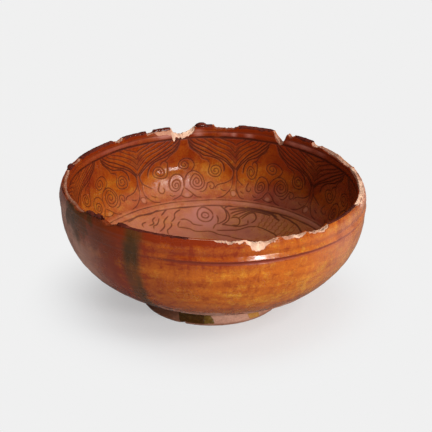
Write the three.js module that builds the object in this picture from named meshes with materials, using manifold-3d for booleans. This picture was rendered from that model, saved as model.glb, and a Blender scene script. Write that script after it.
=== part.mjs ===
// A three-colour lead-glazed earthenware bowl: a thrown clay body on a luted foot ring, with amber glaze
// inside and out, green runs down the wall, and a brown lip glaze that survives only between the chips.
// Millimetres, +Z up. The origin is the centre of the face that the foot stands on, and +Y is the far side.
// A bearing is an angle in degrees seen from above: 0 is the far side (+Y) and 90 is the right (+X).
import * as THREE from "three";
import { mergeVertices } from "three/addons/utils/BufferGeometryUtils.js";
import Module from "manifold-3d";

const wasm = await Module();
wasm.setup();

// Overall size, measured over the glaze
const bowlHeight = 79;
const bellyRadius = 93;
const wallThickness = 5.8; // at the belly, over the glaze
const lipInsetWidth = 1.1; // how much narrower the bowl is where the lip starts to round over
const lipThickness = 3.6;
const lipBandHeight = 14; // from the turned groove up to the lip's top
const lipBulgeDepth = 0.8;

// Outside wall below the groove, a superellipse that starts as wide as the foot's face
const outsideFullness = 2.2;
const grooveDepth = 1;
const grooveWidth = 3.6;

// Inside
const floorHeight = 13;
const insideFullness = 2.6;

// Foot ring
const footHeight = 9;
const footFaceRadius = 42;
const footWaistDepth = 2.2; // how far the foot draws in between its face and the wall
const footRimWidth = 8.5; // across the face that the foot stands on
const footBevelWidth = 0.8;

// Coats of glaze, and the clearance at which each fired piece seats on the next
const glazeThickness = 0.6;
const seatClearance = 0.3;
const coatFootHeight = 1.6; // how far above the foot the outside coat stops
const lipGlazeStartAngle = 62; // degrees round the lip's half circle, from its outside edge
const lipGlazeEndAngle = 125;
const lipGlazeGapAngle = 17;
const footGlazeInsetHeight = 1; // bare clay above and below the patches on the foot

// Wear
const chipDepth = 7; // the deepest chip in the lip
const flakeWidth = 0.5; // how much more glaze than clay is lost at each chip
const spallHeight = 9; // how far down the outside the large front flake reaches
const footNickRadius = 2.6;
const footNickBearing = -155;
const leanAngle = 1.25; // degrees by which the wall leans to the right
const lipWaveHeight = 1.3; // the lip rises and dips by this much, once and twice round the bowl
const lipWaveBearing = 10;
const lipOvalBearing = 25;

// Green runs
const greenRunWidth = 12;
const greenRunEndHeight = 14; // height at which the longest run stops

const facets = 56;
const arcSteps = 6;
const wallSteps = 9;
const chipFacets = 14;
const overrunLength = 3; // how far every cutting tool passes beyond what it cuts

// Each chip's bearing and span in degrees, and its depth as a share of the deepest chip
const chipShares = [
  [-13, 10, 0.74],
  [5.5, 10, 0.34],
  [30, 6.4, 1],
  [35.2, 2.4, 0.36],
  [48.5, 4.5, 0.34],
  [56.2, 8.6, 0.14],
  [68, 12.6, 0.36],
  [80.7, 10.4, 0.2],
  [92, 10, 0.32],
  [104, 11.6, 0.26],
  [138.6, 10.4, 0.4],
  [150, 9.6, 0.22],
  [162.4, 12, 0.38],
  [174.6, 10, 0.2],
  [-139.5, 7, 0.3],
  [-121.5, 9, 0.42],
  [-108.5, 14.4, 0.3],
  [-94.5, 11.2, 0.3],
  [-85.2, 5, 0.24],
  [-72.5, 5.5, 0.17],
  [-43.7, 4.6, 0.28],
  [-27.8, 4.4, 0.32],
];
const spalledChip = 12; // the place in the list of the chip with the large flake below it

// The first and last bearing of each stretch of lip that kept its brown glaze
const lipStretches = [
  [-25.6, -18.9],
  [-7.1, -0.4],
  [11.4, 25.4],
  [37.6, 45.5],
  [112.2, 132.7],
  [-171, -143.9],
  [-134.9, -126.9],
  [-81.6, -76.1],
  [-68.8, -46.8],
  [-40.5, -29.8],
];

// Green runs: name, bearing, and the widths at the lip and at the end with the length, all as shares
const greenRunShares = [
  ["green_run_front", -150.3, 1, 0.8, 1],
  ["green_run_left", -118, 1.7, 1.1, 0.68],
  ["green_run_back", -8, 1.1, 0.7, 0.82],
];

// Patches of glaze that ran onto the foot: name, first and last bearing
const footPatches = [
  ["foot_glaze_green", -152, -173],
  ["foot_glaze_brown", -173.8, -184],
  ["foot_glaze_amber", 138, 149],
];

const insideRadius = bellyRadius - wallThickness;
const lipRadius = bellyRadius - lipInsetWidth;
const footRecessRadius = footFaceRadius - footRimWidth;
const grooveHeight = bowlHeight - lipBandHeight;
const wallDrop =
  (grooveHeight - footHeight) /
  Math.pow(1 - Math.pow(footFaceRadius / bellyRadius, outsideFullness), 1 / outsideFullness);
const lipRound = lipThickness / 2;
const lipCentreHeight = bowlHeight - lipRound;
const lipMiddle = lipRadius - lipRound;
const lipInnerRadius = lipRadius - lipThickness;
const clayDepth = glazeThickness + seatClearance; // how far the clay lies below the glazed surface
const reach = bellyRadius + overrunLength;

// Outside radius over the glaze: the wall's superellipse, the turned groove, and the lip band's soft bulge.
function outsideAt(z) {
  const dip = Math.abs(z - grooveHeight) / (grooveWidth / 2);
  const groove = dip < 1 ? (grooveDepth * (1 + Math.cos(Math.PI * dip))) / 2 : 0;
  if (z > grooveHeight) {
    const up = (z - grooveHeight) / (lipCentreHeight - grooveHeight);
    const bulge = lipBulgeDepth * Math.sin(Math.PI * up);
    return bellyRadius + (lipRadius - bellyRadius) * up * up + bulge - groove;
  }
  const down = (grooveHeight - z) / wallDrop;
  return bellyRadius * Math.pow(1 - Math.pow(down, outsideFullness), 1 / outsideFullness) - groove;
}

// Points up the outside between two heights. Below the groove they are spaced by the superellipse's angle.
function outsideCurve(low, high) {
  const heights = [low];
  const grooveLow = grooveHeight - grooveWidth / 2;
  const lowAngle = Math.asin(Math.pow((grooveHeight - low) / wallDrop, outsideFullness / 2));
  const highAngle = Math.asin(Math.pow((grooveHeight - grooveLow) / wallDrop, outsideFullness / 2));
  for (let i = 1; i < wallSteps; i++) {
    const angle = THREE.MathUtils.lerp(lowAngle, highAngle, i / wallSteps);
    heights.push(grooveHeight - wallDrop * Math.pow(Math.sin(angle), 2 / outsideFullness));
  }
  for (const share of [-1, -0.45, 0, 0.45, 1]) {
    heights.push(grooveHeight + (share * grooveWidth) / 2);
  }
  for (const share of [0.35, 0.6, 0.8, 1]) {
    heights.push(THREE.MathUtils.lerp(grooveHeight, high, share));
  }
  return heights.map((z) => new THREE.Vector2(outsideAt(z), z));
}

// Points down the inside from a height to the middle of the floor: a straight lip band, then a
// superellipse.
function insideCurve(high) {
  const drop = grooveHeight - floorHeight;
  const points = [];
  for (const share of [0, 0.5]) {
    const z = THREE.MathUtils.lerp(high, grooveHeight, share);
    const up = (z - grooveHeight) / (lipCentreHeight - grooveHeight);
    points.push(new THREE.Vector2(THREE.MathUtils.lerp(insideRadius, lipInnerRadius, up), z));
  }
  for (let i = 0; i <= wallSteps; i++) {
    const angle = (Math.PI / 2) * (i / wallSteps);
    const r = i < wallSteps ? insideRadius * Math.pow(Math.cos(angle), 2 / insideFullness) : 0;
    points.push(new THREE.Vector2(r, grooveHeight - drop * Math.pow(Math.sin(angle), 2 / insideFullness)));
  }
  return points;
}

// Points round the lip's half circle between two angles in degrees; it runs from outside to inside.
function lipCurve(first, last, steps) {
  const points = [];
  for (let i = 0; i <= steps; i++) {
    const angle = THREE.MathUtils.degToRad(THREE.MathUtils.lerp(first, last, i / steps));
    const z = lipCentreHeight + lipRound * Math.sin(angle);
    points.push(new THREE.Vector2(lipMiddle + lipRound * Math.cos(angle), z));
  }
  return points;
}

// The curve moved sideways by a distance, to its left as it runs, which is into the clay here.
function offset(points, distance) {
  return points.map((point, i) => {
    const before = points[Math.max(i - 1, 0)];
    const after = points[Math.min(i + 1, points.length - 1)];
    const along = after.clone().sub(before).normalize();
    const moved = new THREE.Vector2(point.x - along.y * distance, point.y + along.x * distance);
    if (point.x === 0) moved.set(0, point.y - distance);
    return moved;
  });
}

// Manifold solid of a closed geometry, and back.
function solidOf(geometry) {
  const bare = geometry.clone();
  bare.deleteAttribute("normal");
  bare.deleteAttribute("uv");
  const merged = mergeVertices(bare);
  const vertProperties = new Float32Array(merged.attributes.position.array);
  const triVerts = new Uint32Array(merged.index.array);
  return new wasm.Manifold(new wasm.Mesh({ numProp: 3, vertProperties, triVerts }));
}

function geometryOf(solid) {
  const mesh = solid.getMesh();
  const geometry = new THREE.BufferGeometry();
  const vertices = new Float32Array(mesh.vertProperties);
  geometry.setAttribute("position", new THREE.BufferAttribute(vertices, mesh.numProp));
  geometry.setIndex(new THREE.BufferAttribute(new Uint32Array(mesh.triVerts), 1));
  return geometry;
}

// A profile of radius and height turned about the Z axis. It runs anticlockwise in (radius, height).
function turned(points) {
  const solidToAxis = points[0].x === 0 && points[points.length - 1].x === 0;
  const profile = solidToAxis ? points : [...points, points[0].clone()];
  return solidOf(new THREE.LatheGeometry(profile, facets).rotateX(Math.PI / 2));
}

// A coat of glaze over a stretch of the surface curve.
function coat(curve) {
  return turned([...curve, ...offset(curve, glazeThickness).reverse()]);
}

// A full-height wedge between two bearings, wide enough to cut or keep any part of the bowl.
function wedge(first, last) {
  const shape = new THREE.Shape();
  const from = THREE.MathUtils.degToRad(90 - Math.max(first, last));
  const to = THREE.MathUtils.degToRad(90 - Math.min(first, last));
  shape.absarc(0, 0, reach, from, to, false);
  shape.lineTo(0, 0);
  shape.closePath();
  const depth = bowlHeight + 2 * overrunLength;
  const block = new THREE.ExtrudeGeometry(shape, { depth, bevelEnabled: false });
  return solidOf(block.translate(0, 0, -overrunLength));
}

// A chip's cutting tool: an elliptical bar that points outwards through the lip.
function chipTool([bearing, span, depthShare], margin) {
  const halfWidth = lipRadius * Math.sin(THREE.MathUtils.degToRad(span / 2)) + margin;
  const depth = chipDepth * depthShare + margin;
  const length = 2 * (lipThickness + overrunLength);
  const bar = new THREE.CylinderGeometry(1, 1, length, chipFacets);
  bar.scale(halfWidth, 1, depth);
  bar.translate(0, lipMiddle, bowlHeight);
  bar.rotateZ(-THREE.MathUtils.degToRad(bearing));
  return solidOf(bar);
}

// The flake lost from the outside glaze below the front chip.
function spallTool() {
  const [bearing, span] = chipShares[spalledChip];
  const halfWidth = lipRadius * Math.sin(THREE.MathUtils.degToRad(span / 2)) * 0.7;
  const bar = new THREE.CylinderGeometry(1, 1, lipThickness, chipFacets);
  bar.scale(halfWidth, 1, spallHeight);
  bar.translate(0, bellyRadius, bowlHeight);
  bar.rotateZ(-THREE.MathUtils.degToRad(bearing));
  return solidOf(bar);
}

// A tapering upright band of the wall at one bearing, as wide as a green run plus a margin on each side.
function runTool([, bearing, topShare, endShare, lengthShare], margin) {
  const halfTop = (greenRunWidth * topShare) / 2 + margin;
  const halfEnd = (greenRunWidth * endShare) / 2 + margin;
  const end = lipCentreHeight - (lipCentreHeight - greenRunEndHeight) * lengthShare - margin;
  const shape = new THREE.Shape();
  shape.moveTo(-halfTop, bowlHeight + overrunLength);
  shape.lineTo(-halfEnd, end + halfEnd);
  shape.absarc(0, end + halfEnd, halfEnd, Math.PI, 2 * Math.PI, false);
  shape.lineTo(halfTop, bowlHeight + overrunLength);
  shape.closePath();
  const options = { depth: reach, bevelEnabled: false, curveSegments: arcSteps };
  const bar = new THREE.ExtrudeGeometry(shape, options).rotateX(Math.PI / 2);
  bar.rotateZ(-THREE.MathUtils.degToRad(bearing + 180));
  return solidOf(bar);
}

// Outside radius of the foot over its glaze, from the flared face through the waist to the wall's root.
function footAt(z) {
  const share = Math.min(Math.max(z / footHeight, 0), 1);
  const topRadius = outsideAt(footHeight) - glazeThickness;
  const bow = Math.sin(Math.PI * share);
  return THREE.MathUtils.lerp(footFaceRadius, topRadius, share) - bow * footWaistDepth;
}

function footCurve(low, high) {
  const points = [];
  for (let i = 0; i <= arcSteps; i++) {
    const z = THREE.MathUtils.lerp(low, high, i / arcSteps);
    points.push(new THREE.Vector2(footAt(z), z));
  }
  return points;
}

function cutBy(solid, tools) {
  return tools.reduce((rest, tool) => rest.subtract(tool), solid);
}

// The main body of a solid, without the crumbs left where two cuts meet.
function mainBody(solid) {
  return solid.decompose().reduce((best, body) => (body.volume() > best.volume() ? body : best));
}

// The wall stands slightly askew on its foot, more so the higher it is, and the lip isn't level: above the
// groove its height waves once and twice round the bowl.
function leaned(geometry) {
  const position = geometry.getAttribute("position");
  const slope = Math.tan(THREE.MathUtils.degToRad(leanAngle)) / bowlHeight;
  for (let i = 0; i < position.count; i++) {
    const x = position.getX(i);
    const z = position.getZ(i);
    const bearing = Math.atan2(x, position.getY(i));
    const wave =
      Math.cos(bearing - THREE.MathUtils.degToRad(lipWaveBearing)) +
      Math.cos(2 * (bearing - THREE.MathUtils.degToRad(lipOvalBearing)));
    const up = THREE.MathUtils.clamp((z - grooveHeight) / lipBandHeight, 0, 1);
    position.setZ(i, z - slope * z * x + lipWaveHeight * wave * up);
  }
  geometry.computeVertexNormals();
  return geometry;
}

const clay = new THREE.MeshStandardMaterial({ color: 0xd8ab8c, roughness: 0.85, metalness: 0 });
const footClay = new THREE.MeshStandardMaterial({ color: 0xa57861, roughness: 0.6, metalness: 0 });
const amberGlaze = new THREE.MeshStandardMaterial({ color: 0xb4622a, roughness: 0.12, metalness: 0 });
const insideAmber = new THREE.MeshStandardMaterial({ color: 0xa85a28, roughness: 0.12, metalness: 0 });
const greenGlaze = new THREE.MeshStandardMaterial({ color: 0x4a3c1e, roughness: 0.14, metalness: 0 });
const brownGlaze = new THREE.MeshStandardMaterial({ color: 0x4a211a, roughness: 0.15, metalness: 0 });

const bowl = new THREE.Group();

function place(name, solid, material) {
  const mesh = new THREE.Mesh(leaned(geometryOf(mainBody(solid))), material);
  mesh.name = name;
  bowl.add(mesh);
}

const clayChips = chipShares.map((chip) => chipTool(chip, 0));
const glazeChips = chipShares.map((chip) => chipTool(chip, flakeWidth));
const coatLow = footHeight + coatFootHeight;

// Thrown body: the whole surface set back by the coats, closed across the underside.
const lipBottom = 180; // where the lip's half circle meets the inside
const coatEdge = lipGlazeStartAngle - lipGlazeGapAngle;
const insideEdge = lipGlazeEndAngle + lipGlazeGapAngle;
const outsideLip = lipCurve(0, coatEdge, 2).slice(1);
const topLip = lipCurve(lipGlazeStartAngle, lipGlazeEndAngle, 3);
const insideLip = lipCurve(insideEdge, lipBottom, 2).slice(0, -1);
const outsideWall = outsideCurve(footHeight, lipCentreHeight);
const insideWall = insideCurve(lipCentreHeight);
const surface = [...outsideWall, ...outsideLip, ...topLip, ...insideLip, ...insideWall];
const claySurface = offset(surface, clayDepth);
const rootRadius = claySurface[0].x;
const underside = [new THREE.Vector2(0, footHeight), new THREE.Vector2(rootRadius, footHeight)];
const clayProfile = [...underside, ...claySurface.slice(1)];
place("clay_body", cutBy(turned(clayProfile), clayChips), clay);

// Foot ring: luted under the body, bevelled where it stands, with one nick in its outer edge.
const footTop = footHeight - seatClearance;
const footGlazeCurve = footCurve(footGlazeInsetHeight, footHeight - footGlazeInsetHeight);
const footSurface = [footCurve(0, footHeight)[0], ...footGlazeCurve, footCurve(0, footHeight)[arcSteps]];
const footWall = offset(footSurface, clayDepth).slice(1, -1);
const footProfile = [
  new THREE.Vector2(footRecessRadius + footBevelWidth, 0),
  new THREE.Vector2(footWall[0].x - footBevelWidth, 0),
  ...footWall,
  new THREE.Vector2(footWall[footWall.length - 1].x, footTop),
  new THREE.Vector2(footRecessRadius, footTop),
  new THREE.Vector2(footRecessRadius, footBevelWidth),
];
const nick = new THREE.SphereGeometry(footNickRadius, chipFacets, chipFacets / 2);
nick.translate(0, footFaceRadius, 0);
nick.rotateZ(-THREE.MathUtils.degToRad(footNickBearing));
place("foot_ring", turned(footProfile).subtract(solidOf(nick)), footClay);

place("inside_glaze", cutBy(coat([...insideLip, ...insideWall]), glazeChips), insideAmber);

const outsideCurveOfCoat = [...outsideCurve(coatLow, lipCentreHeight), ...outsideLip];
const outsideCoat = cutBy(coat(outsideCurveOfCoat), [...glazeChips, spallTool()]);
const amberCoat = cutBy(outsideCoat, greenRunShares.map((run) => runTool(run, seatClearance)));
place("outside_glaze", amberCoat, amberGlaze);
for (const run of greenRunShares) {
  place(run[0], outsideCoat.intersect(runTool(run, 0)), greenGlaze);
}

const lipCoat = cutBy(coat(topLip), glazeChips);
lipStretches.forEach(([first, last], i) => {
  const number = String(i + 1).padStart(2, "0");
  place("lip_glaze_" + number, lipCoat.intersect(wedge(first, last)), brownGlaze);
});

const footCoat = coat(footGlazeCurve);
for (const [name, first, last] of footPatches) {
  place(name, footCoat.intersect(wedge(first, last)), name.endsWith("amber") ? amberGlaze : greenGlaze);
}

export default bowl;
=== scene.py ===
import math

import bpy
import numpy as np
from mathutils import Euler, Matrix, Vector


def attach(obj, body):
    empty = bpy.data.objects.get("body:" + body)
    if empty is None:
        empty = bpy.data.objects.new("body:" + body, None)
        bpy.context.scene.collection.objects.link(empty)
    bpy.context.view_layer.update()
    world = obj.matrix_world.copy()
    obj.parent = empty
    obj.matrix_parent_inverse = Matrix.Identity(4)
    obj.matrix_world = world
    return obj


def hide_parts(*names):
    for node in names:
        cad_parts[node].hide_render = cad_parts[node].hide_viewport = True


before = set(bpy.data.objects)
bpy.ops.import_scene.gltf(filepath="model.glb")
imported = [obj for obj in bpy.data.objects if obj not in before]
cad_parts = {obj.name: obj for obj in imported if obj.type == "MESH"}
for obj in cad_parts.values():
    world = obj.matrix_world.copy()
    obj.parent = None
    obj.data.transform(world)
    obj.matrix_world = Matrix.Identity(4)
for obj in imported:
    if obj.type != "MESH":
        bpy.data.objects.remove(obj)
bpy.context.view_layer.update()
print("loaded the packed bowl:", len(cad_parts), "nodes")

# Lengths below are millimetres until putMesh turns them into metres. A bearing is an angle in degrees
# seen from above: 0 is the far side (+Y) and 90 is the right (+X).
metresPerMm = 0.001
sharpDegrees = 50  # faces that meet at more than this keep a sharp edge

bowl = {
    "height": 79.0,
    "bellyRadius": 93.0,
    "lipRadius": 91.9,
    "lipRound": 1.8,
    "lipMiddle": 90.1,
    "lipCentreHeight": 77.2,
    "grooveHeight": 65.0,
    "turnedHeights": (61.5, 64.9, 66.3, 67.3, 68.3, 69.2, 73.8, 77.2),
    "turnedOffsets": (0.0, -0.7, 0.62, -0.03, -0.62, -1.12, -0.3, 0.0),
    "turnedRounding": 0.3,
    "lipBulge": 0.8,
    "outsideFullness": 2.2,
    "insideRadius": 87.2,
    "insideLipRadius": 88.3,
    "insideFullness": 2.6,
    "floorHeight": 13.0,
    "footHeight": 9.0,
    "footRadius": 43.4,
    "footRecessRadius": 33.5,
    "footWaist": 0.9,
    "footShift": -1.0,
    "rootRadius": 42.0,
    "rootShift": 2.6,
    "leanAngle": 1.25,
    "lipWave": 1.3,
    "lipWaveBearing": 10.0,
    "lipOvalBearing": 25.0,
    "glaze": 0.6,
}
wallDrop = (bowl["grooveHeight"] - bowl["footHeight"]) / (
    1 - (bowl["rootRadius"] / bowl["bellyRadius"]) ** bowl["outsideFullness"]
) ** (1 / bowl["outsideFullness"])

# Every chip in the lip: bearing, span in degrees, depth in millimetres, how pointed it is (2 is round), and
# how freshly broken it looks, from 0, where glaze or wear has browned it, to 1, bare pale clay
chips = np.array([
    [-13, 10, 5.2, 2.0, 1.1], [5.5, 10, 2.4, 2.4, 0.05], [30, 6.4, 7.0, 1.2, 0.4], [35.2, 2.4, 2.5, 2.0, 0.2],
    [48.5, 4.5, 2.4, 2.0, 0.5], [56.2, 8.6, 1.0, 2.4, 0.5], [68, 12.6, 2.5, 2.4, 0.5],
    [80.7, 10.4, 1.4, 2.2, 0.7], [92, 10, 2.2, 2.4, 0.85], [104, 11.6, 1.8, 2.2, 0.85],
    [138.6, 10.4, 2.8, 2.0, 0.6], [150, 9.6, 1.5, 2.4, 0.7], [162.4, 12, 2.7, 2.0, 0.85],
    [174.6, 10, 1.4, 2.4, 0.7], [-139.5, 7, 2.1, 2.0, 0.0], [-121.5, 9, 2.9, 2.2, 0.2],
    [-108.5, 14.4, 2.1, 2.6, 0.3], [-94.5, 11.2, 2.1, 2.4, 0.32], [-85.2, 5, 1.7, 2.0, 0.35],
    [-72.5, 5.5, 1.2, 2.0, 0.3], [-43.7, 4.6, 2.0, 2.0, 0.35], [-27.8, 4.4, 2.2, 2.0, 0.4],
])
# Flakes of glaze lost below the chips: bearing, half span in degrees, depth in millimetres
outsideFlakes = np.array([
    [165.8, 5.6, 1.4], [164.2, 2.7, 2.7], [150, 4, 0.6], [-100, 5, 0.5], [96, 12, 2.6],
    [80, 6, 1.6],
])
# Stretches of lip worn down evenly: first and last bearing and depth in millimetres
wornStretches = [(48, 112, 1.35), (-126, -84, 1.7)]
# Stretches where the brown glaze of the lip survives: first and last bearing
lipStretches = [
    (-25.6, -18.9), (-7.1, -0.4), (11.4, 25.4), (37.6, 45.5), (112.2, 132.7),
    (-171.0, -143.9), (-135.8, -126.9), (-81.6, -76.1), (-68.8, -46.8), (-40.5, -29.8),
]
insideFlakes = np.array([
    [-21.2, 4.8, 5.2], [-12, 5.6, 1.4], [84, 10, 1.4], [60, 7, 0.9], [-104, 9, 1.2], [31, 4, 1.0],
])


def smoothStep(low, high, x):
    t = np.clip((x - low) / (high - low), 0, 1)
    return t * t * (3 - 2 * t)


def bearingGap(bearing, other):
    # smallest turn between two bearings, in degrees
    return np.abs((bearing - other + 180) % 360 - 180)


def ripple(bearing, seed, low, high, fall=0.5):
    # wave round the bowl: sum of cos(k a + phase) / k^fall for k from low to high, scaled to a spread of one
    rng = np.random.default_rng(seed)
    k = np.arange(low, high + 1)
    weight = k ** -fall
    phase = rng.uniform(0, 2 * math.pi, len(k))
    a = np.radians(np.asarray(bearing, float))
    wave = (weight * np.cos(a[..., None] * k + phase)).sum(-1)
    return wave / math.sqrt((weight ** 2).sum() / 2)


def lumps(x, y, z, size, seed, waves=18):
    # smooth lumps of about one size in space: the sum of plane waves in seeded directions, spread of one
    rng = np.random.default_rng(seed)
    way = rng.normal(size=(waves, 3))
    way /= np.linalg.norm(way, axis=1)[:, None]
    k = way * (2 * math.pi / (size * rng.uniform(0.7, 1.5, (waves, 1))))
    phase = rng.uniform(0, 2 * math.pi, waves)
    total = 0
    for i in range(waves):
        total = total + np.cos(x * k[i, 0] + y * k[i, 1] + z * k[i, 2] + phase[i])
    return total / math.sqrt(waves / 2)


def turnedShape(z):
    # the groove turned round the wall, the edge over it and the slope above that, as offsets of the radius
    rounding = bowl["turnedRounding"]
    shifts = np.linspace(-rounding, rounding, 5)
    heights, offsets = bowl["turnedHeights"], bowl["turnedOffsets"]
    return sum(np.interp(z + shift, heights, offsets) for shift in shifts) / len(shifts)


def turnedShare(bearing):
    # how crisp the turned groove is: full at the right of the front, and nearly worn out at the left
    return 0.06 + 0.94 * smoothStep(72, 22, bearingGap(bearing, 145))


def outsideRadius(z):
    # superellipse wall below the groove, a soft bulge above it, and the turned groove
    z = np.asarray(z, float)
    up = (z - bowl["grooveHeight"]) / (bowl["lipCentreHeight"] - bowl["grooveHeight"])
    above = bowl["bellyRadius"] - (bowl["bellyRadius"] - bowl["lipRadius"]) * up ** 2
    above = above + bowl["lipBulge"] * np.sin(math.pi * np.clip(up, 0, 1))
    down = np.clip((bowl["grooveHeight"] - z) / wallDrop, 0, 0.9999)
    below = bowl["bellyRadius"] * (1 - down ** bowl["outsideFullness"]) ** (1 / bowl["outsideFullness"])
    return np.where(z > bowl["grooveHeight"], above, below) + turnedShape(z)


def rootAside(bearing, z):
    # the wall's root stands a little to the right, and the foot was luted on to the left of it
    return bowl["rootShift"] * np.sin(np.radians(bearing)) * np.exp(-((z - 16) / 8) ** 2)


def footRadiusAt(z):
    # straight from the foot's face to the wall's root, drawn in by a sine at the waist
    share = np.clip(np.asarray(z, float) / bowl["footHeight"], 0, 1)
    root = outsideRadius(bowl["footHeight"]) - bowl["glaze"]
    face = bowl["footRadius"]
    return face + (root - face) * share - bowl["footWaist"] * np.sin(math.pi * share)


def withNormals(r, z, outward):
    # arc length along a profile and the unit normal, to the right of its run if outward, else to the left
    step = np.hypot(np.diff(r), np.diff(z))
    s = np.concatenate([[0], np.cumsum(step)])
    dr, dz = np.gradient(r, s), np.gradient(z, s)
    size = np.hypot(dr, dz)
    turn = 1 if outward else -1
    return {"s": s, "r": r, "z": z, "nr": turn * dz / size, "nz": -turn * dr / size}


def insideProfile():
    # from the middle of the floor out: superellipse, straight lip band, then the lip's arc to its top
    a = np.linspace(math.pi / 2, 0, 1500)
    power = 2 / bowl["insideFullness"]
    r = bowl["insideRadius"] * np.cos(a) ** power
    r[0] = 0
    z = bowl["grooveHeight"] - (bowl["grooveHeight"] - bowl["floorHeight"]) * np.sin(a) ** power
    zBand = np.linspace(bowl["grooveHeight"], bowl["lipCentreHeight"], 160)[1:]
    share = (zBand - bowl["grooveHeight"]) / (bowl["lipCentreHeight"] - bowl["grooveHeight"])
    rBand = bowl["insideRadius"] + (bowl["insideLipRadius"] - bowl["insideRadius"]) * share
    lip = np.radians(np.linspace(180, 90, 60))[1:]
    rLip = bowl["lipMiddle"] + bowl["lipRound"] * np.cos(lip)
    zLip = bowl["lipCentreHeight"] + bowl["lipRound"] * np.sin(lip)
    return withNormals(np.concatenate([r, rBand, rLip]), np.concatenate([z, zBand, zLip]), False)


def outsideProfile():
    # from below the coat's edge up: the wall, then the lip's arc to its top
    z = np.concatenate([np.linspace(8.2, 20, 300)[:-1], np.linspace(20, bowl["lipCentreHeight"], 900)])
    lip = np.radians(np.linspace(0, 90, 60))[1:]
    rLip = bowl["lipMiddle"] + bowl["lipRound"] * np.cos(lip)
    zLip = bowl["lipCentreHeight"] + bowl["lipRound"] * np.sin(lip)
    return withNormals(np.concatenate([outsideRadius(z), rLip]), np.concatenate([z, zLip]), True)


insideTable = insideProfile()
outsideTable = outsideProfile()


def onProfile(table, s, lift):
    # radius and height at arc length s, moved off the surface by lift along its normal
    at = {key: np.interp(s, table["s"], table[key]) for key in ("r", "z", "nr", "nz")}
    return at["r"] + lift * at["nr"], at["z"] + lift * at["nz"]


def lengthAtHeight(table, z, first):
    # arc length at which the profile reaches a height, on the stretch that starts at arc length first
    keep = table["s"] >= first
    return np.interp(z, table["z"][keep], table["s"][keep])


def bearingsRound(columns):
    return -180 + 360 * np.arange(columns)[None, :] / columns


def planAt(bearing, r):
    # sideways and away from the middle, as seen from above
    a = np.radians(bearing)
    return r * np.sin(a), r * np.cos(a)


def insidePlan(bearing, s):
    return planAt(bearing, np.interp(s, insideTable["s"], insideTable["r"]))


def turnedPoints(bearing, r, z):
    return np.stack(np.broadcast_arrays(*planAt(bearing, r), z), -1)


def leaned(points):
    # the wall stands slightly askew on its foot, and above the groove the lip's height waves once and twice
    x, y, z = points[..., 0], points[..., 1], points[..., 2]
    slope = math.tan(math.radians(bowl["leanAngle"])) / bowl["height"]
    a = np.arctan2(x, y)
    wave = np.cos(a - math.radians(bowl["lipWaveBearing"]))
    wave = wave + np.cos(2 * (a - math.radians(bowl["lipOvalBearing"])))
    up = np.clip((z - bowl["grooveHeight"]) / (bowl["height"] - bowl["grooveHeight"]), 0, 1)
    return np.stack([x, y, z - slope * z * x + bowl["lipWave"] * wave * up], -1)


def wornAt(bearing):
    total = 0
    for first, last, depth in wornStretches:
        gap = bearingGap(bearing, (first + last) / 2)
        total = np.maximum(total, depth * smoothStep((last - first) / 2 + 2, (last - first) / 2 - 3, gap))
    return total


def chipLoss(bearing):
    # how much of the lip's height is broken away: the deepest of the chips' |t|^p arcs, with a jagged edge
    shift = 0.22 * ripple(bearing, 3, 40, 160, 0.3)
    total = np.zeros_like(bearing, dtype=float)
    for at, span, depth, point in chips[:, :4]:
        t = bearingGap(bearing + shift, at) / (span / 2)
        total = np.maximum(total, depth * np.clip(1 - t ** point, 0, 1) ** (1 / max(point, 1)))
    jag = 0.16 * ripple(bearing, 4, 60, 300, 0.2) + 0.22 * ripple(bearing, 5, 18, 60, 0.3)
    worn = wornAt(bearing)
    total = np.maximum(total, worn) + jag * smoothStep(0.2, 1.0, total) * (1 - 0.75 * smoothStep(0, 1, worn))
    return np.maximum(total, 0)


def chipPale(bearing):
    # how fresh the break looks: a bell over each chip times its own figure, the largest of them
    total = np.zeros_like(bearing, dtype=float)
    for at, span, pale in chips[:, [0, 1, 4]]:
        total = np.maximum(total, pale * smoothStep(0.78, 0.42, bearingGap(bearing, at) / span))
    return np.clip(total + 0.12 * ripple(bearing, 6, 20, 120, 0.3) * total, 0, 1)


def flakeLoss(bearing, flakes, seed):
    # glaze lost beyond the clay's own break: a thin ragged rim everywhere, and rounder flakes where listed
    rim = 0.42 + 0.22 * ripple(bearing, seed, 30, 200, 0.3) + 0.12 * ripple(bearing, seed + 1, 200, 400, 0)
    whole = 1 - 0.5 * smoothStep(0, 1, wornAt(bearing))
    total = np.clip(rim, 0.1, 2) * (0.25 + 0.6 * chipPale(bearing)) * whole
    for at, half, depth in flakes:
        t = bearingGap(bearing, at) / half
        edge = np.clip(1 - t ** 4, 0, 1) ** 0.5
        total = total + depth * edge * (1 + 0.08 * ripple(bearing, seed + 2, 20, 120, 0.3))
    return total


def glazeEdge(bearing, table, first, lipAngle, flakes, seed):
    # how far up its profile a coat reaches: to an angle on the lip's half circle, or to the break
    top = bowl["lipCentreHeight"] + bowl["lipRound"] * math.sin(math.radians(lipAngle))
    full = lengthAtHeight(table, top, first)
    loss = chipLoss(bearing)
    edge = lengthAtHeight(table, bowl["height"] - loss - flakeLoss(bearing, flakes, seed), first)
    return np.where(loss > 0.05, np.minimum(edge, full), np.minimum(full, edge + 1.2))


def gridQuads(rows, columns, wrapRows=False, wrapColumns=False):
    i = np.arange(rows if wrapRows else rows - 1)[:, None]
    j = np.arange(columns if wrapColumns else columns - 1)[None, :]
    ii, jj = (i + 1) % rows, (j + 1) % columns
    corners = np.broadcast_arrays(i * columns + j, i * columns + jj, ii * columns + jj, ii * columns + j)
    return np.stack(corners, -1).reshape(-1, 4)


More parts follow.
